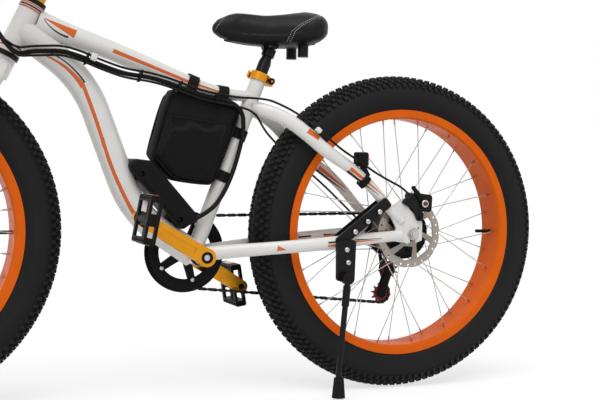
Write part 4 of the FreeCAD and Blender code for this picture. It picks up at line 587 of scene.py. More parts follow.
class Finish:
    """A material with one Principled shader, read in the bike's own coordinates."""

    def __init__(self, name, **constants):
        self.material = bpy.data.materials.new(name)
        self.material.use_nodes = True
        self.tree = self.material.node_tree
        self.shader = self.tree.nodes["Principled BSDF"]
        for key, value in constants.items():
            self.shader.inputs[key.replace("_", " ")].default_value = value
        self.place = put(self.tree, "ShaderNodeTexCoord").outputs["Object"]

    def grain(self, scale):
        return placed_group(self.tree, grain_group(), {"Place": self.place, "Scale": scale})

    def feed(self, key, socket):
        self.tree.links.new(socket, self.shader.inputs[key])

    def bump(self, height, strength, distance):
        values = {"Height": height, "Strength": strength, "Distance": distance}
        node = put(self.tree, "ShaderNodeBump", values)
        self.feed("Normal", node.outputs[0])

    def uneven(self, base, low, high, scale, strength=0.15, distance=0.0004, shade=0.8):
        """Base colour, roughness and relief that all vary a little over the surface."""
        grain = self.grain(scale)
        darker = tuple(channel * shade for channel in base)
        self.feed("Base Color", tinted(self.tree, grain["Tint"], base, darker))
        self.feed("Roughness", ranged(self.tree, grain["Tint"], 0.0, 1.0, low, high))
        self.bump(grain["Height"], strength, distance)
        return self.material


# Straight stripes of each tube: ink, start and end along X and up Z, and width at both, in millimetres
STRIPES = {
    "top_tube": [
        ("orange", (-257, 811), (-192, 782), 1.5, 19),
        ("orange", (-112, 753), (54, 696), 8.5, 6.5),
        ("orange", (54, 696), (134, 675), 6, 3.5),
    ],
    "down_tube": [],
    "seat_stays": [
        ("orange", (317, 597), (341, 580), 13, 10),
        ("orange", (414, 515), (503, 452), 9, 1),
        ("black", (408, 509), (487, 456), 5.5, 1),
    ],
    "chain_stays": [
        ("orange", (249, 335), (268, 332), 13, 1),
        ("orange", (364, 341), (398, 344), 5.5, 5),
        ("black", (364, 348), (398, 351), 4.5, 4),
        ("black", (430, 354), (500, 357), 3, 1),
        ("orange", (430, 350), (495, 354), 4.5, 1),
    ],
    "head_tube": [],
}
# Curved lines of each tube: ink, three points along X and up Z, and width at both ends, in millimetres
ARCS = {
    "top_tube": [
        ("black", (-256, 806), (-236, 787), (-207, 775), 1.5, 4.5),
    ],
    "down_tube": [
        ("black", (-243, 739), (-206, 717), (-173, 682), 2, 4.5),
        ("orange", (-247, 731), (-211, 710), (-176, 673), 2.5, 11),
        ("orange", (-177, 678), (-151, 615), (-128, 549), 8, 7),
        ("orange", (-128, 551), (-103, 486), (-62, 408), 7, 8),
    ],
}
# Bands round the head tube: near and far edge below its top, in millimetres
HEAD_BANDS = [("orange", 1, 4), ("black", 5, 9), ("orange", 10, 13), ("orange", 100, 104),
              ("black", 95, 98)]


def arc_through(first, middle, last):
    """Centre, radius, middle angle and half span of the circle through three points."""
    (ax, az), (bx, bz), (cx, cz) = first, middle, last
    d = 2 * (ax * (bz - cz) + bx * (cz - az) + cx * (az - bz))
    a2, b2, c2 = ax * ax + az * az, bx * bx + bz * bz, cx * cx + cz * cz
    x = (a2 * (bz - cz) + b2 * (cz - az) + c2 * (az - bz)) / d
    z = (a2 * (cx - bx) + b2 * (ax - cx) + c2 * (bx - ax)) / d
    angle = math.atan2(bz - z, bx - x)
    turns = []
    for px, pz in (first, last):
        turns.append(abs((math.atan2(pz - z, px - x) - angle + math.pi) % math.tau - math.pi))
    return x, z, math.hypot(ax - x, az - z), angle, max(turns)


@made_once
def frame_paint(tube=None):
    """Gloss white enamel, with the stripes of one tube."""
    name = "white_enamel" + ("_" + tube if tube else "")
    finish = Finish(name, Coat_Weight=0.3, Coat_Roughness=0.12, Specular_IOR_Level=0.3)
    tree = finish.tree
    grain = finish.grain(420.0)
    white = tuple(colours().frame_white)
    base = tinted(tree, grain["Tint"], white, tuple(c * 0.94 for c in white))
    inks = {"orange": tuple(colours().stripe_orange), "black": tuple(colours().stripe_black)}
    for ink, start, end, first, last in STRIPES.get(tube, []):
        values = {
            "Place": finish.place, "Start X": start[0] * MM, "Start Z": start[1] * MM,
            "Angle": math.atan2(end[1] - start[1], end[0] - start[0]),
            "Length": math.dist(start, end) * MM, "Start Width": first * MM, "End Width": last * MM}
        mask = placed_group(tree, stripe_group(), values)["Mask"]
        base = tinted(tree, mask, base, inks[ink])
    for ink, first, middle, last, start, end in ARCS.get(tube, []):
        x, z, radius, angle, span = arc_through(first, middle, last)
        opening = math.atan2(first[1] - z, first[0] - x)
        rising = math.sin(math.atan2(last[1] - z, last[0] - x) - opening) > 0
        low, high = (start, end) if rising else (end, start)
        values = {"Place": finish.place, "Centre X": x * MM, "Centre Z": z * MM, "Radius": radius * MM,
                  "Middle Angle": angle, "Half Span": span,
                  "Low Width": low * MM, "High Width": high * MM}
        mask = placed_group(tree, arc_group(), values)["Mask"]
        base = tinted(tree, mask, base, inks[ink])
    if tube == "head_tube":
        for ink, near, far in HEAD_BANDS:
            middle = HEAD_TOP - STEER_UP * ((near + far) / 2 * MM) - STEER_FORE * 0.04
            values = {"Place": finish.place, "Start X": middle.x, "Start Z": middle.z,
                      "Angle": math.atan2(STEER_FORE.z, STEER_FORE.x), "Length": 0.08,
                      "Start Width": (far - near) * MM, "End Width": (far - near) * MM}
            mask = placed_group(tree, stripe_group(), values)["Mask"]
            base = tinted(tree, mask, base, inks[ink])
    finish.feed("Base Color", base)
    finish.feed("Roughness", ranged(tree, grain["Tint"], 0.0, 1.0, 0.24, 0.34))
    finish.bump(grain["Height"], 0.05, 0.0003)
    return finish.material


@made_once
def rim_enamel():
    finish = Finish("orange_rim_enamel", Specular_IOR_Level=0.08)
    return finish.uneven(tuple(colours().rim_orange), 0.30, 0.42, 380.0, 0.06, 0.0003, 0.9)


@made_once
def gold_anodised():
    finish = Finish("gold_anodised", Metallic=0.85, Specular_IOR_Level=0.5)
    return finish.uneven(tuple(colours().gold), 0.24, 0.36, 900.0, 0.08, 0.0002, 0.88)


@made_once
def steel_bright():
    finish = Finish("bright_steel", Metallic=1.0)
    return finish.uneven(tuple(colours().steel), 0.24, 0.42, 700.0, 0.08, 0.0002, 0.82)


@made_once
def alloy_satin():
    finish = Finish("satin_alloy", Metallic=0.9)
    return finish.uneven((0.50, 0.50, 0.49), 0.38, 0.52, 600.0, 0.10, 0.0002, 0.85)


@made_once
def chain_steel():
    finish = Finish("oiled_chain_steel", Metallic=0.85)
    return finish.uneven((0.060, 0.054, 0.048), 0.32, 0.55, 260.0, 0.10, 0.0003, 0.5)


@made_once
def chain_plate():
    finish = Finish("dark_chain_plate", Metallic=0.8)
    return finish.uneven((0.022, 0.020, 0.018), 0.36, 0.55, 260.0, 0.10, 0.0003, 0.6)


@made_once
def black_plastic():
    finish = Finish("moulded_black_plastic", Specular_IOR_Level=0.09)
    return finish.uneven(tuple(colours().plastic), 0.40, 0.55, 1500.0, 0.22, 0.0003, 1.5)


@made_once
def black_enamel():
    finish = Finish("black_enamel", Specular_IOR_Level=0.14)
    return finish.uneven(tuple(c * 1.15 for c in colours().plastic), 0.26, 0.40, 700.0, 0.10, 0.0003, 1.6)


@made_once
def soft_rubber():
    finish = Finish("soft_black_rubber", Specular_IOR_Level=0.08)
    return finish.uneven((0.008, 0.0079, 0.0078), 0.62, 0.80, 900.0, 0.25, 0.0003, 1.6)


@made_once
def cable_jacket():
    finish = Finish("cable_jacket", Specular_IOR_Level=0.12)
    return finish.uneven((0.0060, 0.0060, 0.0062), 0.36, 0.52, 800.0, 0.12, 0.0002, 1.4)


@made_once
def wrapped_sleeve():
    """Spiral wrapping round the wires: slanted bands along the bike, with painted shade in the grooves and
    a painted highlight on the ridges.
    """
    finish = Finish("wrapped_sleeve", Specular_IOR_Level=0.14)
    tree = finish.tree
    turned = put(tree, "ShaderNodeMapping", {0: finish.place, 2: (0.0, 0.5, 0.0)})
    bands = put(tree, "ShaderNodeTexWave", {"Vector": turned.outputs[0], "Scale": 40.0})
    # The grooves are painted darker as shade and the ridges lighter as a highlight.
    groove_shade, ridge_highlight = (0.0035, 0.0035, 0.0036), (0.0085, 0.0084, 0.0083)
    finish.feed("Base Color", tinted(tree, bands.outputs[1], groove_shade, ridge_highlight))
    finish.feed("Roughness", ranged(tree, bands.outputs[1], 0.0, 1.0, 0.62, 0.44))
    finish.bump(bands.outputs[1], 0.7, 0.0008)
    return finish.material


@made_once
def orange_reflector():
    finish = Finish("orange_reflector", Specular_IOR_Level=0.6, Coat_Weight=0.6)
    tree = finish.tree
    prisms = put(tree, "ShaderNodeTexVoronoi", {"Vector": finish.place, "Scale": 420.0})
    edge = ranged(tree, prisms.outputs["Distance"], 0.0, 0.8, 0.0, 1.0)
    # Each prism is painted bright in its middle and dark towards its edges: a painted glint with painted
    # shade round it.
    finish.feed("Base Color", tinted(tree, edge, (0.62, 0.16, 0.02), (0.28, 0.05, 0.008)))
    finish.shader.inputs["Roughness"].default_value = 0.2
    finish.bump(prisms.outputs["Distance"], 0.5, 0.0006)
    return finish.material


@made_once
def red_lens():
    finish = Finish("red_lens", Specular_IOR_Level=0.6, Coat_Weight=0.7, Roughness=0.16)
    tree = finish.tree
    ribs = put(tree, "ShaderNodeTexWave", {"Vector": finish.place, "Scale": 120.0})
    base = tuple(colours().lens_red)
    # The ribs are painted in darker bands, a painted shade across the lens.
    finish.feed("Base Color", tinted(tree, ribs.outputs[1], base, tuple(c * 0.5 for c in base)))
    finish.bump(ribs.outputs[1], 0.3, 0.0006)
    return finish.material


@made_once
def red_plastic():
    finish = Finish("dark_red_plastic", Specular_IOR_Level=0.4)
    return finish.uneven((0.17, 0.008, 0.010), 0.38, 0.52, 900.0, 0.15, 0.0003, 0.6)


@made_once
def disc_steel(x, z):
    finish = Finish(f"brushed_disc_{'front' if x < 0 else 'rear'}", Metallic=0.8)
    tree = finish.tree
    values = {"Place": finish.place, "Centre X": x, "Centre Z": z, "Scale": 1600.0}
    rings = placed_group(tree, rings_group(), values)
    base = tuple(colours().disc)
    worn = ranged(tree, rings["Reach"], 0.062, 0.067, 0.0, 1.0)
    brushed = tinted(tree, rings["Line"], tuple(c * 1.25 for c in base), tuple(c * 0.7 for c in base))
    dull = tinted(tree, rings["Line"], tuple(c * 0.9 for c in base), tuple(c * 0.6 for c in base))
    finish.feed("Base Color", tinted(tree, worn, dull, brushed))
    finish.feed("Roughness", ranged(tree, rings["Line"], 0.3, 0.7, 0.28, 0.48))
    finish.bump(rings["Line"], 0.12, 0.0002)
    return finish.material


@made_once
def tyre_rubber(x, z):
    finish = Finish(f"tyre_rubber_{'front' if x < 0 else 'rear'}", Specular_IOR_Level=0.15)
    tree = finish.tree
    values = {"Place": finish.place, "Centre X": x, "Centre Z": z, "Scale": 260.0}
    rings = placed_group(tree, rings_group(), values)
    grain = finish.grain(650.0)
    base = tuple(colours().rubber)
    dust = (0.034, 0.031, 0.028)
    tread = ranged(tree, rings["Reach"], 0.350, 0.366, 0.0, 0.42)
    mask = times(tree, tread, grain["Tint"])
    wall = tinted(tree, grain["Tint"], base, tuple(c * 1.5 for c in base))
    finish.feed("Base Color", tinted(tree, mask, wall, dust))
    finish.feed("Roughness", ranged(tree, grain["Tint"], 0.0, 1.0, 0.56, 0.74))
    lines = calc(tree, "SINE", times(tree, rings["Reach"], 1900.0))
    outer = ranged(tree, rings["Reach"], 0.288, 0.292, 1.0, 0.0)
    flank = times(tree, outer, ranged(tree, rings["Reach"], 0.280, 0.283, 0.0, 1.0))
    ribs = times(tree, lines, flank)
    height = plus(tree, times(tree, ribs, 0.6), times(tree, grain["Height"], 0.5))
    finish.bump(height, 0.35, 0.0006)
    return finish.material


@made_once
def nylon(threads):
    finish = Finish(f"woven_nylon_{int(threads)}", Specular_IOR_Level=0.12)
    tree = finish.tree
    weave = placed_group(tree, weave_group(), {"Place": finish.place, "Threads": threads})
    base = tuple(colours().textile)
    colour_mix = tinted(tree, weave["Tint"], base, tuple(c * 1.55 for c in base))
    # The raised threads are painted lighter, a painted highlight on the weave.
    shade = ranged(tree, weave["Height"], 0.0, 1.0, 0.0, 0.45)
    finish.feed("Base Color", tinted(tree, shade, colour_mix, tuple(c * 2.2 for c in base)))
    finish.feed("Roughness", ranged(tree, weave["Height"], 0.0, 1.0, 0.62, 0.80))
    finish.bump(weave["Height"], 0.5, 0.0004)
    return finish.material


@made_once
def pocket_mesh():
    """Knitted netting: pale strands round holes painted near black as painted shade."""
    finish = Finish("knitted_netting", Specular_IOR_Level=0.1)
    tree = finish.tree
    values = {"Vector": finish.place, "Scale": 420.0, "Randomness": 0.12}
    cells = put(tree, "ShaderNodeTexVoronoi", values, feature="DISTANCE_TO_EDGE")
    strand = ranged(tree, cells.outputs["Distance"], 0.06, 0.22, 1.0, 0.0)
    # The holes are painted near black, painted shade behind the netting.
    finish.feed("Base Color", tinted(tree, strand, (0.0022, 0.0022, 0.0023), (0.0120, 0.0117, 0.0115)))
    finish.feed("Roughness", ranged(tree, strand, 0.0, 1.0, 0.9, 0.6))
    finish.bump(strand, 0.6, 0.0006)
    return finish.material


@made_once
def saddle_vinyl():
    finish = Finish("saddle_vinyl", Specular_IOR_Level=0.16)
    tree = finish.tree
    values = {"Vector": finish.place, "Scale": 620.0}
    pores = put(tree, "ShaderNodeTexVoronoi", values, feature="DISTANCE_TO_EDGE")
    grain = finish.grain(300.0)
    base = tuple(colours().vinyl)
    finish.feed("Base Color", tinted(tree, grain["Tint"], base, tuple(c * 1.45 for c in base)))
    finish.feed("Roughness", ranged(tree, grain["Tint"], 0.0, 1.0, 0.36, 0.50))
    creases = ranged(tree, pores.outputs["Distance"], 0.0, 0.12, 0.0, 1.0)
    finish.bump(creases, 0.22, 0.0003)
    return finish.material


@made_once
def pale_thread():
    finish = Finish("pale_thread", Specular_IOR_Level=0.2)
    tree = finish.tree
    twist_shade = put(tree, "ShaderNodeTexWave", {"Vector": finish.place, "Scale": 500.0})
    base = tuple(colours().thread)
    # The twist is painted in darker bands, painted shade between the plies of the thread.
    finish.feed("Base Color", tinted(tree, twist_shade.outputs[1], base, tuple(c * 0.6 for c in base)))
    finish.feed("Roughness", ranged(tree, twist_shade.outputs[1], 0.0, 1.0, 0.6, 0.8))
    return finish.material


@made_once
def white_plastic():
    finish = Finish("white_clip_plastic", Specular_IOR_Level=0.4)
    return finish.uneven((0.72, 0.71, 0.68), 0.34, 0.48, 900.0, 0.12, 0.0003, 0.9)


@made_once
def battery_wrap():
    finish = Finish("battery_wrap", Specular_IOR_Level=0.1)
    return finish.uneven((0.006, 0.007, 0.009), 0.40, 0.55, 300.0, 0.10, 0.0003, 0.8)


# Operators


class PaintFrame(Operator):
    """Enamel the frame and fork, with the painted stripes"""
    bl_idname = "fat_bike.paint_frame"
    bl_label = "Paint frame"

    def execute(self, context):
        for node in ("head_tube", "top_tube", "down_tube", "seat_tube", "chain_stays", "seat_stays"):
            striped = node in STRIPES
            smooth_stand_in(node, frame_paint(node if striped else None), "frame")
        smooth_stand_in("fork", frame_paint(None), "steering")
        paint(["bearing_cups"], black_enamel())
        return {"FINISHED"}


class DressWheels(Operator):
    """Finish tyres, rims, spokes, hubs and discs, and add the disc bolts"""
    bl_idname = "fat_bike.dress_wheels"
    bl_label = "Dress wheels"

    # Half of the tyre's outer and inner section: radius and distance from the middle, in millimetres
    SKIN = [(279.9, 40.2), (288.6, 40.5), (291.5, 42.2), (294.6, 44.0), (295.0, 44.9), (297.0, 45.7),
            (297.5, 45.2), (301.0, 46.4), (301.4, 47.1), (303.0, 47.5), (303.5, 47.0), (309.0, 48.1),
            (317.0, 48.8), (326.0, 48.5), (334.0, 46.8), (341.0, 43.4), (347.0, 38.2), (352.0, 31.5),
            (356.5, 23.5), (359.8, 14.5), (361.5, 6.0), (362.0, 0.0)]
    LINING = [(279.9, 32.0), (290.0, 36.0), (317.0, 44.4), (343.0, 34.4), (354.5, 18.0), (358.0, 0.0)]
    # Rows of knobs: radius of the foot, distance from the middle, lean and stagger
    KNOB_ROWS = [(361.0, 8.5, 6, 0.0), (357.4, 22.5, 22, 0.5), (350.6, 33.6, 40, 0.0),
                 (342.6, 41.8, 56, 0.5)]
    KNOBS_ROUND = 126
    KNOB_FOOT = 8.2 * MM
    KNOB_TOP = 6.6 * MM
    KNOB_HEIGHT = 6.4 * MM

    def execute(self, context):
        for end, centre, offset in (("front", FRONT_AXLE, 0.055), ("rear", REAR_AXLE, 0.072)):
            self.add_tyre(end, centre)
            paint([end + "_inner_tube"], soft_rubber())
            smooth_stand_in(end + "_rim", rim_enamel(), end + "_wheel")
            paint([end + "_spokes"], steel_bright())
            paint([end + "_rotor"], disc_steel(centre.x, centre.z))
            paint([end + "_axle"], steel_bright())
            self.add_disc_bolts(end, centre, offset)
        smooth_stand_in("hub_motor", black_enamel(), "rear_wheel")
        smooth_stand_in("front_hub", black_enamel(), "front_wheel")
        self.add_motor_screws()
        return {"FINISHED"}

    def add_tyre(self, end, centre):
        """A smooth carcass with moulded rings, and rows of small knobs round its crown."""
        rubber = tyre_rubber(centre.x, centre.z)
        carcass = bmesh.new()
        loop = [(r, -y) for r, y in self.SKIN] + [(r, y) for r, y in reversed(self.SKIN[:-1])]
        loop += [(r, y) for r, y in self.LINING] + [(r, -y) for r, y in reversed(self.LINING[:-1])]
        profile = [(r * MM, y * MM) for r, y in loop]
        turn(carcass, profile + profile[:1], centre, (0, 1, 0), 126)
        skin = settle(end + "_tyre_carcass", carcass, rubber, end + "_wheel", 34)
        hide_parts(end + "_tyre")
        tread = bmesh.new()
        for radius, across, lean, stagger in self.KNOB_ROWS:
            for side in (-1, 1):
                for k in range(self.KNOBS_ROUND):
                    share = k + stagger + (0.25 if side > 0 else 0)
                    turned = share / self.KNOBS_ROUND
                    self.add_knob(tread, centre, radius, across * side, lean * side, turned)
        knobs = settle(end + "_tyre_tread", tread, rubber, end + "_wheel", 30)
        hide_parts(end + "_tyre")

    def add_knob(self, bm, centre, radius, across, lean, share):
        """One knob, a bar that narrows upwards, square to the carcass."""
        round_wheel = Matrix.Rotation(math.tau * share, 4, "Y")
        foot = Matrix.Translation((across * MM, 0, 0)) @ Matrix.Translation((0, 0, radius * MM))
        upright = Matrix.Rotation(math.radians(90), 4, "Z")
        tilted = Matrix.Rotation(math.radians(lean), 4, "Y")
        square = Matrix.Diagonal((1.0, 0.82, 1, 1)) @ Matrix.Rotation(math.radians(45), 4, "Z")
        place = Matrix.Translation(centre) @ round_wheel @ upright @ foot @ tilted
        raised = Matrix.Translation((0, 0, self.KNOB_HEIGHT * 0.4))
        bmesh.ops.create_cone(bm, cap_ends=True, segments=4, radius1=self.KNOB_FOOT, radius2=self.KNOB_TOP,
                              depth=self.KNOB_HEIGHT, matrix=place @ raised @ square)

    def add_disc_bolts(self, end, centre, offset):
        bm = bmesh.new()
        face = centre + LEFT * (offset + 0.001)
        for k in range(6):
            angle = math.radians(15 + 60 * k)
            spot = face + Vector((math.cos(angle), 0, math.sin(angle))) * 0.022
            socket_bolt(bm, spot, LEFT, 0.0042, 0.0024, 12)
        settle(end + "_disc_bolts", bm, steel_bright(), end + "_wheel")

    def add_motor_screws(self):
        bm = bmesh.new()
        for k in range(9):
            angle = math.radians(10 + 40 * k)
            out = Vector((math.cos(angle), 0, math.sin(angle)))
            socket_bolt(bm, REAR_AXLE + out * 0.0455 - LEFT * 0.0325, -LEFT, 0.0032, 0.0022, 10)
        settle("motor_cover_screws", bm, steel_bright(), "rear_wheel")


class DressDrive(Operator):
    """Finish cranks, chain, sprockets, pedals and derailleur, with caps, bolts and reflectors"""
    bl_idname = "fat_bike.dress_drive"
    bl_label = "Dress drive"

    # The spider sits three teeth round from the crank arm
    RING_TURN = 27

    def execute(self, context):
        smooth_stand_in("crank_arms", gold_anodised(), "crank")
        paint(["crank_axles"], steel_bright())
        self.set_chainring()
        self.waist_chain()
        paint(["freewheel"], chain_steel())
        paint(["upper_pulley", "lower_pulley"], red_plastic())
        smooth_stand_in("rear_derailleur", black_plastic(), "frame")
        paint(["left_pedal", "right_pedal"], black_plastic())
        self.add_crank_bolts()
        self.add_ring_bolts()
        self.add_reflectors()
        self.add_derailleur_fittings()
        return {"FINISHED"}

    def set_chainring(self):
        """The toothed ring and spider, with a second guard on the chain's inner side."""
        bm = merged_copy("chainring")
        turned = Matrix.Rotation(math.radians(-self.RING_TURN), 3, "Y")
        bmesh.ops.rotate(bm, verts=bm.verts, cent=BRACKET, matrix=turned)
        crease(bm, 32)
        ring = placed("chainring_shell", bm, black_plastic(), "crank")
        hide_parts("chainring")
        guard = bmesh.new()
        profile = [(0.0625, 0), (0.0858, 0), (0.0862, 0.0004), (0.0862, 0.0009), (0.0856, 0.0013),
                   (0.0845, 0.0014), (0.0636, 0.0014), (0.0628, 0.0010), (0.0625, 0)]
        turn(guard, profile, BRACKET + Vector((0, 0.0564, 0)), LEFT, 96)
        settle("inner_chain_guard", guard, black_plastic(), "crank")

    def waist_chain(self):
        """Draw in the middle of each link's plates, and give wide links a darker finish."""
        bm = merged_copy("chain")
        links = []
        for link in islands_of(bm.verts):
            middle = sum((vert.co for vert in link), Vector()) / len(link)
            wide = max(abs(vert.co.y - middle.y) for vert in link) > 0.0027
            for vert in link:
                for face in vert.link_faces:
                    face.material_index = 1 if wide else 0
            links.append((middle, self.link_rise(link, middle)))
        places = KDTree(len(links))
        for k, (middle, _) in enumerate(links):
            places.insert(middle, k)
        places.balance()
        long_edges = [edge for edge in bm.edges if edge.calc_length() > 0.009]
        made = bmesh.ops.subdivide_edges(bm, edges=long_edges, cuts=1)
        for vert in {item for item in made["geom_inner"] if isinstance(item, bmesh.types.BMVert)}:
            middle, rise = links[places.find(vert.co)[1]]
            vert.co -= rise * ((vert.co - middle).dot(rise) * 0.42)
        bmesh.ops.triangulate(bm, faces=bm.faces)
        crease(bm, 35)
        chain = placed("chain_links", bm, [chain_steel(), chain_plate()], "frame")
        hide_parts("chain")

    def link_rise(self, link, middle):
        """The direction across a link's plates, from the spread of its corners."""
        spread = [(vert.co - middle).xz for vert in link]
        angle = 0.5 * math.atan2(sum(2 * a * b for a, b in spread), sum(a * a - b * b for a, b in spread))
        return Vector((-math.sin(angle), 0, math.cos(angle)))

    def add_crank_bolts(self):
        caps = bmesh.new()
        bolts = bmesh.new()
        for side in (-1, 1):
            out = Vector((0, side, 0))
            face = BRACKET + out * 0.100
            profile = [(0.0085, -0.0018), (0.0125, 0), (0.0125, 0.0018), (0.0112, 0.003), (0.0078, 0.003),
                       (0.0072, 0.0012), (0.0072, -0.0018)]
            turn(caps, profile + profile[:1], face, out, 32)
            socket_bolt(bolts, face - out * 0.0016, out, 0.0070, 0.0030, 20)
            tip = PEDALS[side] + out * 0.0862
            profile = [(0, -0.0012), (0.0068, -0.0012), (0.0068, 0), (0.0035, 0), (0.0030, 0.0012),
                       (0, 0.0012)]
            turn(caps, profile, tip, -out, 20)
        settle("crank_dust_rings", caps, black_plastic(), "crank")
        settle("crank_bolts", bolts, steel_bright(), "crank")

    def add_ring_bolts(self):
        bm = bmesh.new()
        for k in range(5):
            angle = math.radians(72 * k + 330 + self.RING_TURN)
            out = Vector((math.cos(angle), 0, math.sin(angle)))
            for place, axis in ((0.0675, 1), (0.0550, -1)):
                spot = BRACKET + out * 0.066 + Vector((0, place, 0))
                socket_bolt(bm, spot, (0, axis, 0), 0.0045, 0.0018, 14)
        settle("chainring_bolts", bm, steel_bright(), "crank")

    def add_reflectors(self):
        for side, name in ((-1, "left"), (1, "right")):
            bm = bmesh.new()
            centre = PEDALS[side] + Vector((0, side * (0.1063 + 0.046), 0))
            lean = Matrix.Translation(centre) @ Matrix.Rotation(math.radians(80 * side), 4, "Y")
            for end in (-1, 1):
                block(bm, (0.0024, 0.050, 0.015), lean @ Matrix.Translation((end * 0.0503, 0, 0)), 0.0010)
            settle(name + "_pedal_reflectors", bm, orange_reflector(), "pedal_" + name)
            teeth = bmesh.new()
            for end in (-1, 1):
                for k in range(5):
                    for face in (-1, 1):
                        spot = lean @ Vector((end * 0.0435, (k - 2) * 0.0165, face * 0.013))
                        up = lean.to_3x3() @ Vector((0, 0, face))
                        turn(teeth, [(0.0036, -0.001), (0.0022, 0.0022), (0, 0.0022)], spot, up, 8)
            settle(name + "_pedal_studs", teeth, black_plastic(), "pedal_" + name)

    def add_derailleur_fittings(self):
        bm = bmesh.new()
        hanger = REAR_AXLE + mm(14, 106, -29)
        socket_bolt(bm, hanger, (0, 1, 0), 0.0068, 0.0030, 18)
        guide = mm(598, 87, 271)
        socket_bolt(bm, guide, (0, 1, 0), 0.0060, 0.0024, 18)
        settle("derailleur_bolts", bm, steel_bright(), "frame")


class DressStand(Operator):
    """Finish the kickstand, the brakes and the axle fittings, with their bolts"""
    bl_idname = "fat_bike.dress_stand"
    bl_label = "Dress stand and brakes"

    def execute(self, context):
        smooth_stand_in("kickstand_bracket", black_enamel(), "frame")
        smooth_stand_in("kickstand_leg", black_enamel(), "kickstand")
        smooth_stand_in("kickstand_foot", soft_rubber(), "kickstand")
        for end, body in (("front", "steering"), ("rear", "frame")):
            smooth_stand_in(end + "_caliper", black_enamel(), body)
            smooth_stand_in(end + "_caliper_arm", black_plastic(), end + "_brake_arm")
        bm = bmesh.new()
        for x, y, z in ((485, -106.3, 418), (456, -106.3, 396), (425, -106.3, 373), (404, -109.3, 333),
                        (408, -109.3, 304)):
            socket_bolt(bm, mm(x, y, z), LEFT, 0.0056, 0.0036, 18)
        settle("kickstand_bolts", bm, steel_bright(), "frame")
        self.add_axle_washers()
        self.add_brake_caps()
        return {"FINISHED"}

    def add_brake_caps(self):
        """A bright ring on each brake arm, a red cap on its pin and bolts in the caliper's lugs."""
        for end, body, pivot, offset, lugs in (
                ("front", "steering", FRONT_PIN, 0.055, FRONT_LUGS),
                ("rear", "frame", REAR_PIN, 0.072, REAR_LUGS)):
            ring = bmesh.new()
            profile = [(0.0046, 0), (0.0088, 0), (0.0088, 0.0012), (0.0080, 0.0022), (0.0046, 0.0022),
                       (0.0046, 0)]
            turn(ring, profile, pivot + LEFT * (offset + 0.0302), LEFT, 28)
            settle(end + "_brake_ring", ring, steel_bright(), end + "_brake_arm")
            cap = bmesh.new()
            profile = [(0, 0), (0.0046, 0), (0.0046, 0.0010), (0.0034, 0.0022), (0, 0.0022)]
            turn(cap, profile, pivot + LEFT * (offset + 0.0340), LEFT, 20)
            settle(end + "_brake_cap", cap, red_plastic(), body)
            bolts = bmesh.new()
            for lug in lugs:
                socket_bolt(bolts, lug + LEFT * (offset + 0.028), LEFT, 0.0048, 0.0026, 14)
            settle(end + "_caliper_bolts", bolts, black_enamel(), body)

    def add_axle_washers(self):
        bm = bmesh.new()
        for side in (-1, 1):
            out = Vector((0, side, 0))
            profile = [(0.0074, 0), (0.0145, 0), (0.0145, 0.0012), (0.0136, 0.0020), (0.0074, 0.0020),
                       (0.0074, 0)]
            turn(bm, profile, REAR_AXLE + out * 0.0911, out, 32)
        settle("rear_axle_washers", bm, alloy_satin(), "frame")


class DressCockpit(Operator):
    """Finish the bar, stem, grips and levers, with the stem bolts"""
    bl_idname = "fat_bike.dress_cockpit"
    bl_label = "Dress cockpit"

    def execute(self, context):
        for node in ("handlebar", "stem", "bar_controls"):
            smooth_stand_in(node, black_enamel(), "steering")
        smooth_stand_in("headset_spacers", gold_anodised(), "steering")
        smooth_stand_in("left_grip", soft_rubber(), "steering")
        smooth_stand_in("throttle_grip", soft_rubber(), "throttle")
        for side in ("left", "right"):
            smooth_stand_in(side + "_brake_lever", black_enamel(), side + "_lever")
        self.add_bolts()
        return {"FINISHED"}

    def add_bolts(self):
        bm = bmesh.new()
        cap = HEAD_TOP + STEER_UP * 0.0773
        socket_bolt(bm, cap, STEER_UP, 0.0060, 0.0030, 18)
        bar = HEAD_TOP + STEER_UP * 0.0513 + STEER_FORE * 0.075
        for side in (-1, 1):
            for tilt in (-1, 1):
                across = Vector((0, side * 0.016, 0))
                spot = bar + STEER_FORE * 0.0165 + STEER_UP * (tilt * 0.0085) + across
                socket_bolt(bm, spot, STEER_FORE, 0.0040, 0.0042, 14)
        settle("stem_bolts", bm, steel_bright(), "steering")


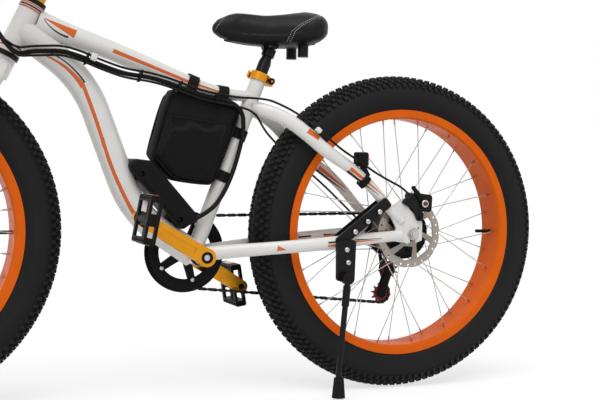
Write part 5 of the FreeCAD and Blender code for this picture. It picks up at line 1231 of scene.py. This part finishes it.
class DressCables(Operator):
    """Finish the cables, part the front brake hose from the bar loops, and add clips and ties"""
    bl_idname = "fat_bike.dress_cables"
    bl_label = "Dress cables"

    def execute(self, context):
        smooth_stand_in("wiring_loom", wrapped_sleeve(), "frame", 60)
        smooth_stand_in("control_cables", cable_jacket(), "frame", 60)
        self.split_bar_cables()
        self.add_clips()
        return {"FINISHED"}

    def split_bar_cables(self):
        """The hose to the front brake turns with the fork; the other loops ride on no body."""
        hose = merged_copy("bar_cables")
        loops = hose.copy()
        for bm, is_hose in ((hose, True), (loops, False)):
            extra = []
            for island in islands_of(bm.verts):
                if (min(vert.co.z for vert in island) < 0.6) != is_hose:
                    extra += island
            bmesh.ops.delete(bm, geom=extra, context="VERTS")
            if is_hose:
                self.lead_to_caliper(bm)
            crease(bm, 60)
        front = placed("front_brake_hose", hose, cable_jacket(), "steering")
        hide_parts("bar_cables")
        bent = placed("bar_loops", loops, cable_jacket(), None)
        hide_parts("bar_cables")
        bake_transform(bent)

    def lead_to_caliper(self, bm):
        """The hose's lower run, beside the fork leg and down into the caliper's cable stop."""
        start = mm(-395.2, -101, 640)
        geometry = bm.verts[:] + bm.edges[:] + bm.faces[:]
        bmesh.ops.bisect_plane(bm, geom=geometry, plane_co=start, plane_no=(0, 0, -1), clear_outer=True)
        stop = FRONT_AXLE + TO_FRONT @ mm(-10, -75, 88)
        beside_leg = HEAD_TOP - STEER_UP * 0.345 + STEER_FORE * 0.008 + LEFT * 0.100
        above_stop = HEAD_TOP - STEER_UP * 0.400 + STEER_FORE * 0.002 + LEFT * 0.090
        route = [mm(-392.2, -101, 648), start, mm(-409.5, -101, 601.4), beside_leg, above_stop,
                 stop + mm(1, 0, 62), stop + mm(0, 0, 30), stop - mm(0, 0, 2)]
        pipe(bm, route, HOSE_RADIUS, sides=3)
        turn(bm, [(0.0034, -0.002), (0.0042, 0), (0.0042, 0.009), (0.0030, 0.014)], stop, (0, 0, 1), 16)

    def add_clips(self):
        ties = bmesh.new()
        for x, y, z, tilt in ((-172, -38, 731, 20), (-58, -40, 701, 18), (28, -41, 682, 22),
                              (112, -42, 660.5, 12)):
            place = Matrix.Translation(mm(x, y, z)) @ Matrix.Rotation(math.radians(tilt), 4, "Y")
            block(ties, (0.004, 0.019, 0.027), place, 0.0015)
        settle("cable_ties", ties, black_plastic(), "frame")
        clips = bmesh.new()
        turned_down = Matrix.Rotation(math.radians(20), 4, "Y")
        block(clips, (0.014, 0.012, 0.016), Matrix.Translation(mm(-158, -43, 735)) @ turned_down, 0.003, 3)
        stay = Matrix.Rotation(math.radians(40), 4, "Y")
        block(clips, (0.013, 0.014, 0.011), Matrix.Translation(mm(337, -88, 598)) @ stay, 0.003, 3)
        settle("cable_clips", clips, white_plastic(), "frame")


class DressSeat(Operator):
    """Make the padded saddle with its seams and stitches, and finish post and clamp"""
    bl_idname = "fat_bike.dress_seat"
    bl_label = "Dress seat"

    # Saddle stations: distance along X, width, underside height and top height, in millimetres
    STATIONS = [
        (109, 8, 814, 820), (113, 24, 809, 826), (121, 38, 804, 836), (134, 48, 797, 843),
        (160, 58, 790, 850), (190, 68, 786, 850), (235, 94, 783, 848), (275, 146, 782, 853),
        (325, 190, 785, 862), (350, 176, 793, 863), (366, 140, 801, 857), (377, 92, 809, 847),
        (381, 50, 816, 838),
    ]
    # Seams: height against distance along X of the sheet that cuts the cover
    REAR_SEAM = [(780, 272), (802, 274), (815, 279), (828, 293), (843, 320), (855, 348), (866, 370)]
    NOSE_SEAM = [(806, 112), (820, 117), (832, 124), (844, 138), (852, 150)]

    def execute(self, context):
        smooth_stand_in("seatpost", black_enamel(), "seat")
        smooth_stand_in("seat_collar", gold_anodised(), "frame")
        smooth_stand_in("seat_clamp_lever", gold_anodised(), "clamp_lever")
        nut = bmesh.new()
        end = SEAT_TOP - SEAT_UP * 0.005 + SEAT_BACK * 0.0255 + LEFT * 0.017
        profile = [(0.0026, -0.004), (0.0074, -0.004), (0.0074, 0.0002), (0.0062, 0.0014), (0.0026, 0.0014)]
        turn(nut, profile, end, LEFT)
        settle("clamp_nut_cap", nut, black_plastic(), "frame")
        smooth_stand_in("saddle_rails", black_enamel(), "seat")
        smooth_stand_in("saddle_base", black_plastic(), "seat")
        cover = self.make_cover()
        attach(cover, "seat")
        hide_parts("saddle_pad")
        self.add_stitches(cover)
        return {"FINISHED"}

    def station(self, x):
        """Width, underside and top of the saddle at a distance along X."""
        rows = self.STATIONS
        for before, after in zip(rows, rows[1:]):
            if x <= after[0]:
                share = (x - before[0]) / (after[0] - before[0])
                share = max(0, min(1, share))
                return [a + (b - a) * share for a, b in zip(before[1:], after[1:])]
        return list(rows[-1][1:])

    def make_cover(self):
        bm = bmesh.new()
        bmesh.ops.create_cube(bm, size=2)
        bmesh.ops.subdivide_edges(bm, edges=bm.edges, cuts=23, use_grid_fill=True)
        first, last = self.STATIONS[0][0], self.STATIONS[-1][0]
        for vert in bm.verts:
            a, b, c = vert.co
            along = a * math.sqrt(1 - b * b / 2 - c * c / 2 + b * b * c * c / 3)
            across = b * math.sqrt(1 - c * c / 2 - a * a / 2 + c * c * a * a / 3)
            rise = c * math.sqrt(1 - a * a / 2 - b * b / 2 + a * a * b * b / 3)
            radius = math.hypot(across, rise)
            reach = math.copysign(math.sin(abs(along) * math.pi / 2), along)
            x = first + (last - first) * (reach + 1) / 2
            width, low, high = self.station(x)
            closing = (1 - abs(reach) ** 24) ** 0.5
            if radius > 1e-6:
                across, rise = across / radius, rise / radius
            across = math.copysign(abs(across) ** 0.82, across)
            rise = math.copysign(abs(rise) ** 0.86, rise)
            middle = (low + high) / 2
            z = middle + rise * closing * (high - low) / 2
            vert.co = mm(x, across * closing * width / 2, z)
        bmesh.ops.smooth_vert(bm, verts=bm.verts, factor=0.5, use_axis_x=True, use_axis_y=True,
                              use_axis_z=True)
        polish(bm, 180)
        cover = placed("saddle_cover", bm, saddle_vinyl(), None)
        swell(cover, 0.005, sizes().saddle_swell, lambda normal: 0.0 if normal.z < -0.3 else 1.0)
        refine(cover)
        press_seams(cover, self.seam_distance, sizes().seam_depth)
        return cover

    def seam_x(self, seam, z):
        """Where the seam's sheet stands at a height, in millimetres."""
        if z <= seam[0][0]:
            return seam[0][1]
        for (low, start), (high, end) in zip(seam, seam[1:]):
            if z <= high:
                return start + (end - start) * (z - low) / (high - low)
        return seam[-1][1]

    def seam_distance(self, point):
        """Distance of a point from the nearest seam, in metres."""
        if point.z < 0.788:
            return 1.0
        height = point.z / MM
        seams = (self.REAR_SEAM, self.NOSE_SEAM)
        return min(abs(point.x - self.seam_x(seam, height) * MM) * 0.8 for seam in seams)

    def add_stitches(self, cover):
        bm = bmesh.new()
        tree = BVHTree.FromObject(cover, bpy.context.evaluated_depsgraph_get())
        for seam, row in ((self.REAR_SEAM, 1), (self.REAR_SEAM, -1), (self.NOSE_SEAM, 1)):
            shift = row * sizes().stitch_rows / MM * 1.25
            path = []
            for k in range(241):
                angle = math.radians(-118 + 236 * k / 240)
                aim = Vector((0, math.sin(angle), math.cos(angle)))
                x = seam[3][1] + shift
                hit = None
                for _ in range(6):
                    start = mm(x, 0, 822)
                    hit, normal, _, _ = tree.ray_cast(start, aim)
                    if hit is None:
                        break
                    x = 0.5 * x + 0.5 * (self.seam_x(seam, hit.z / MM) + shift)
                if hit is not None and hit.z > 0.789:
                    path.append(hit + normal * sizes().stitch_radius * 0.4)
            lay_stitches(bm, path)
        settle("saddle_stitches", bm, pale_thread(), "seat")


class DressBag(Operator):
    """Make the sewn battery bag with its piping, netting pocket and straps"""
    bl_idname = "fat_bike.dress_bag"
    bl_label = "Dress bag"

    # Corners of the bag seen from its left side, in millimetres along X and up Z
    OUTLINE = [(70, 668), (22, 679), (5, 646), (-23, 541), (-21, 530), (25, 481), (110, 471), (122, 492),
               (179, 645)]
    # Ends of the pocket's upper edge, in the same terms
    HEM = ((11, 621), (160, 603))

    def execute(self, context):
        shell = self.make_shell()
        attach(shell, "frame")
        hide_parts("battery_bag")
        paint(["battery_pack"], battery_wrap())
        self.add_piping(shell)
        self.add_pocket(shell)
        self.add_straps()
        return {"FINISHED"}

    def make_shell(self):
        bm = bmesh.new()
        centre = Vector((78, 0, 572))
        corners = []
        for x, z in self.OUTLINE:
            out = (Vector((x, 0, z)) - centre).normalized()
            corners.append(mm(x + out.x * 1.5, -28, z + out.z * 1.5))
        prism(bm, corners, mm(0, 56, 0), 0.004, 2)
        bmesh.ops.triangulate(bm, faces=bm.faces)
        polish(bm, 180)
        shell = placed("battery_bag_shell", bm, nylon(900.0), None)
        swell(shell, 0.004, sizes().bag_swell, lambda normal: 0.35 + 0.65 * abs(normal.y))
        refine(shell)
        self.sag(shell)
        return shell

    def sag(self, shell):
        """The walls bulge low down, where the battery rests, and pucker a little near the top."""
        for vert in shell.data.vertices:
            low = max(0.0, min(1.0, (0.66 - vert.co.z) / 0.17))
            ripple = math.sin(vert.co.x * 95 + vert.co.z * 40) * math.sin(vert.co.z * 70)
            move = 0.0008 * low + 0.0006 * ripple * (1 - 0.5 * low)
            vert.co += vert.normal * abs(vert.normal.y) * move

    def rim(self, inset):
        """The bag's outline drawn in towards its middle."""
        middle = sum((Vector((x, 0, z)) for x, z in self.OUTLINE), Vector()) / len(self.OUTLINE)
        points = []
        for before, corner, after in zip(self.OUTLINE[-1:] + self.OUTLINE[:-1], self.OUTLINE,
                                         self.OUTLINE[1:] + self.OUTLINE[:1]):
            here = Vector((corner[0], 0, corner[1]))
            for other in (before, after):
                there = Vector((other[0], 0, other[1]))
                reach = min(14, (there - here).length * 0.4)
                spot = here + (there - here).normalized() * reach
                points.append(spot + (middle - spot).normalized() * inset)
        return points

    def add_piping(self, shell):
        bm = bmesh.new()
        for y in (-27.6, 27.6):
            points = [mm(p.x, y, p.z) for p in self.rim(1.2)]
            pipe(bm, points, sizes().piping_radius, cyclic=True)
        settle("bag_piping", bm, nylon(1400.0), "frame", 60)

    def add_pocket(self, shell):
        """A netting panel that follows the left wall, with a folded hem along its top."""
        bm = bmesh.new()
        bm.from_mesh(shell.data)
        tree = BVHTree.FromBMesh(bm)
        bm.clear()
        place = Matrix.Translation(mm(78, -60, 560)) @ Matrix.Rotation(math.radians(90), 4, "X")
        bmesh.ops.create_grid(bm, x_segments=44, y_segments=44, size=0.13, matrix=place)
        points = self.rim(7)
        centre = sum(points, Vector()) / len(points)
        for before, after in zip(points, points[1:] + points[:1]):
            inward = Vector((-(after - before).z, 0, (after - before).x))
            if inward.dot(centre - before) < 0:
                inward = -inward
            self.trim(bm, before * MM, inward)
        (x0, z0), (x1, z1) = self.HEM
        slope = Vector((x1 - x0, 0, z1 - z0))
        self.trim(bm, mm(x0, 0, z0), Vector((slope.z, 0, -slope.x)))
        hem = bmesh.new()
        for k in range(2):
            shift = 3.0 + 2.2 * k
            line = []
            for share in (0.03, 0.2, 0.4, 0.6, 0.8, 0.93):
                spot = mm(x0, -0.08 / MM, z0) + slope * share * MM
                hit = tree.ray_cast(spot, (0, 1, 0))[0]
                line.append((hit or spot) + Vector((0, -0.0030, -shift * MM + 0.003)))
            pipe(hem, line, 0.0017)
        for vert in bm.verts:
            hit = tree.ray_cast(Vector((vert.co.x, -0.08, vert.co.z)), (0, 1, 0))[0]
            drop = max(0.0, min(1.0, (0.61 - vert.co.z) / 0.05))
            vert.co.y = (hit.y if hit else -0.027) - 0.0022 - 0.0020 * math.sin(drop * math.pi / 2)
        bmesh.ops.recalc_face_normals(bm, faces=bm.faces)
        bmesh.ops.solidify(bm, geom=bm.faces, thickness=0.0009)
        settle("bag_pocket", bm, pocket_mesh(), "frame", 60)
        settle("bag_pocket_hem", hem, nylon(1400.0), "frame", 60)

    def trim(self, bm, point, inward):
        geometry = bm.verts[:] + bm.edges[:] + bm.faces[:]
        bmesh.ops.bisect_plane(bm, geom=geometry, plane_co=point, plane_no=-inward, clear_outer=True)

    def add_straps(self):
        bm = bmesh.new()
        wall = sizes().strap_wall
        slope = Vector((130, 0, -46)).normalized()
        for x, z, tall, wide, ahead, drop in ((66, 690.2, 42.4, 40.4, slope, 26),
                                              (138, 672, 38, 38.4, Vector((1, 0, -0.12)).normalized(), 18)):
            up = Vector((0, 1, 0)).cross(ahead)
            up = up if up.z > 0 else -up
            place = Matrix.Translation(mm(x, 0, z)) @ frame_of(ahead, up)
            a, b = tall / 2 * MM, wide / 2 * MM
            outline = [(-a - drop * MM, -b * 0.98), (-a * 0.4, -b * 1.02), (a * 0.55, -b * 1.0),
                       (a * 1.02, -b * 0.55), (a * 1.03, 0), (a * 1.02, b * 0.55), (a * 0.55, b * 1.0),
                       (-a * 0.4, b * 1.02), (-a - drop * MM, b * 0.98)]
            band(bm, outline, sizes().strap_width, wall, place, cyclic=False)
        for distance in (172, 274):
            centre = BRACKET + SEAT_UP * ((distance + 11) * MM)
            place = Matrix.Translation(centre) @ frame_of(SEAT_UP, SEAT_BACK)
            r = 0.0190
            outline = [(-r * 1.25, -r), (r * 0.45, -r * 1.02), (r * 1.02, -r * 0.5), (r * 1.02, r * 0.5),
                       (r * 0.45, r * 1.02), (-r * 1.25, r)]
            band(bm, outline, sizes().strap_width, wall, place)
        settle("bag_straps", bm, nylon(700.0), "frame")


class DressElectrics(Operator):
    """Finish the controller case and the tail light, with screws and lens"""
    bl_idname = "fat_bike.dress_electrics"
    bl_label = "Dress electrics"

    def execute(self, context):
        smooth_stand_in("controller_case", black_plastic(), "frame", 24)
        smooth_stand_in("tail_light", black_plastic(), "frame")
        screws = bmesh.new()
        for x, z in ((-50, 494), (37, 396)):
            for side in (-1, 1):
                socket_bolt(screws, mm(x, side * 32, z), (0, side, 0), 0.0045, 0.0034, 14)
        settle("case_screws", screws, black_enamel(), "frame")
        self.add_lens()
        return {"FINISHED"}

    def add_lens(self):
        bm = bmesh.new()
        block(bm, (0.0034, 0.021, 0.027), Matrix.Translation(mm(457.4, -88, 535.5)), 0.0014)
        settle("tail_light_lens", bm, red_lens(), "frame")


class SetStudio(Operator):
    """Set the floor, the soft light, the white surround and the camera"""
    bl_idname = "fat_bike.set_studio"
    bl_label = "Set studio"

    def execute(self, context):
        self.make_world(context.scene)
        self.make_floor()
        self.make_light()
        self.make_camera(context.scene)
        context.scene.view_settings.view_transform = "Standard"
        return {"FINISHED"}

    def seen_directly(self, tree):
        """One for rays from the camera, mirrors and glass."""
        path = put(tree, "ShaderNodeLightPath").outputs
        glossy = calc(tree, "MAXIMUM", path["Is Glossy Ray"], path["Is Transmission Ray"])
        return calc(tree, "MAXIMUM", path["Is Camera Ray"], glossy)

    def make_world(self, scene):
        world = bpy.data.worlds.new("studio")
        scene.world = world
        world.use_nodes = True
        tree = world.node_tree
        back = tree.nodes["Background"]
        back.inputs["Color"].default_value = (1, 1, 1, 1)
        ambient = scene.bike_studio.ambient
        strength = ranged(tree, self.seen_directly(tree), 0.0, 1.0, ambient, 1.0)
        tree.links.new(strength, back.inputs["Strength"])

    def make_floor(self):
        bm = bmesh.new()
        bmesh.ops.create_grid(bm, x_segments=2, y_segments=2, size=30)
        mesh = bpy.data.meshes.new("studio_floor")
        bm.to_mesh(mesh)
        bm.free()
        floor = bpy.data.objects.new("studio_floor", mesh)
        bpy.context.scene.collection.objects.link(floor)
        floor.location.z = -0.0005
        material = bpy.data.materials.new("white_floor")
        material.use_nodes = True
        tree = material.node_tree
        diffuse = tree.nodes["Principled BSDF"]
        diffuse.inputs["Base Color"].default_value = (0.86, 0.86, 0.86, 1)
        diffuse.inputs["Roughness"].default_value = 0.9
        diffuse.inputs["Specular IOR Level"].default_value = 0.0
        glow = put(tree, "ShaderNodeEmission", {"Color": (1, 1, 1, 1), "Strength": 1.12})
        share = times(tree, self.seen_directly(tree), 0.62)
        mixed = put(tree, "ShaderNodeMixShader", {0: share, 1: diffuse.outputs[0], 2: glow.outputs[0]})
        tree.links.new(mixed.outputs[0], tree.nodes["Material Output"].inputs["Surface"])
        mesh.materials.append(material)

    def make_light(self):
        lamp = bpy.data.lights.new("soft_sky", "SUN")
        lamp.energy = bpy.context.scene.bike_studio.key
        lamp.angle = math.radians(50)
        item = bpy.data.objects.new("soft_sky", lamp)
        bpy.context.scene.collection.objects.link(item)
        item.rotation_euler = Vector((-0.30, -0.55, 1.0)).to_track_quat("Z", "Y").to_euler()

    def make_camera(self, scene):
        studio = scene.bike_studio
        yaw, pitch, roll = studio.yaw, studio.pitch, studio.roll
        level_run = math.cos(pitch)
        ahead = Vector((math.sin(yaw) * level_run, math.cos(yaw) * level_run, math.sin(pitch)))
        right = Vector((math.cos(yaw), -math.sin(yaw), 0))
        up = right.cross(ahead)
        level = right * math.cos(roll) + up * math.sin(roll)
        upright = up * math.cos(roll) - right * math.sin(roll)
        camera = bpy.data.cameras.new("photo_camera")
        camera.lens = studio.lens
        camera.sensor_width = 36
        camera.sensor_fit = "HORIZONTAL"
        camera.clip_end = 100
        item = bpy.data.objects.new("photo_camera", camera)
        scene.collection.objects.link(item)
        item.matrix_world = Matrix.Translation(studio.camera_place) @ Matrix(
            (level, upright, -ahead)).transposed().to_4x4()
        scene.camera = item


class FAT_BIKE_PT_dresser(Panel):
    """The steps that dress the bike, in order"""
    bl_idname = "FAT_BIKE_PT_dresser"
    bl_label = "Fat bike"
    bl_space_type = "VIEW_3D"
    bl_region_type = "UI"
    bl_category = "Fat bike"

    def draw(self, context):
        for step in STEPS:
            self.layout.operator(step.bl_idname)
        for group in (context.scene.bike_colours, context.scene.bike_sizes, context.scene.bike_studio):
            for name in group.bl_rna.properties.keys():
                if name not in ("rna_type", "name"):
                    self.layout.prop(group, name)


STEPS = [PaintFrame, DressWheels, DressDrive, DressStand, DressCockpit, DressCables, DressSeat, DressBag,
         DressElectrics, SetStudio]
GROUPS = {"bike_colours": BikeColours, "bike_sizes": BikeSizes, "bike_studio": StudioSettings}


def register():
    for item in [*GROUPS.values(), *STEPS, FAT_BIKE_PT_dresser]:
        bpy.utils.register_class(item)
    for name, group in GROUPS.items():
        setattr(bpy.types.Scene, name, PointerProperty(type=group))


def unregister():
    for name in GROUPS:
        delattr(bpy.types.Scene, name)
    for item in reversed([*GROUPS.values(), *STEPS, FAT_BIKE_PT_dresser]):
        bpy.utils.unregister_class(item)


def main():
    register()
    for step in STEPS:
        group, name = step.bl_idname.split(".")
        getattr(getattr(bpy.ops, group), name)()
    bpy.context.view_layer.update()


if __name__ == "__main__":
    main()
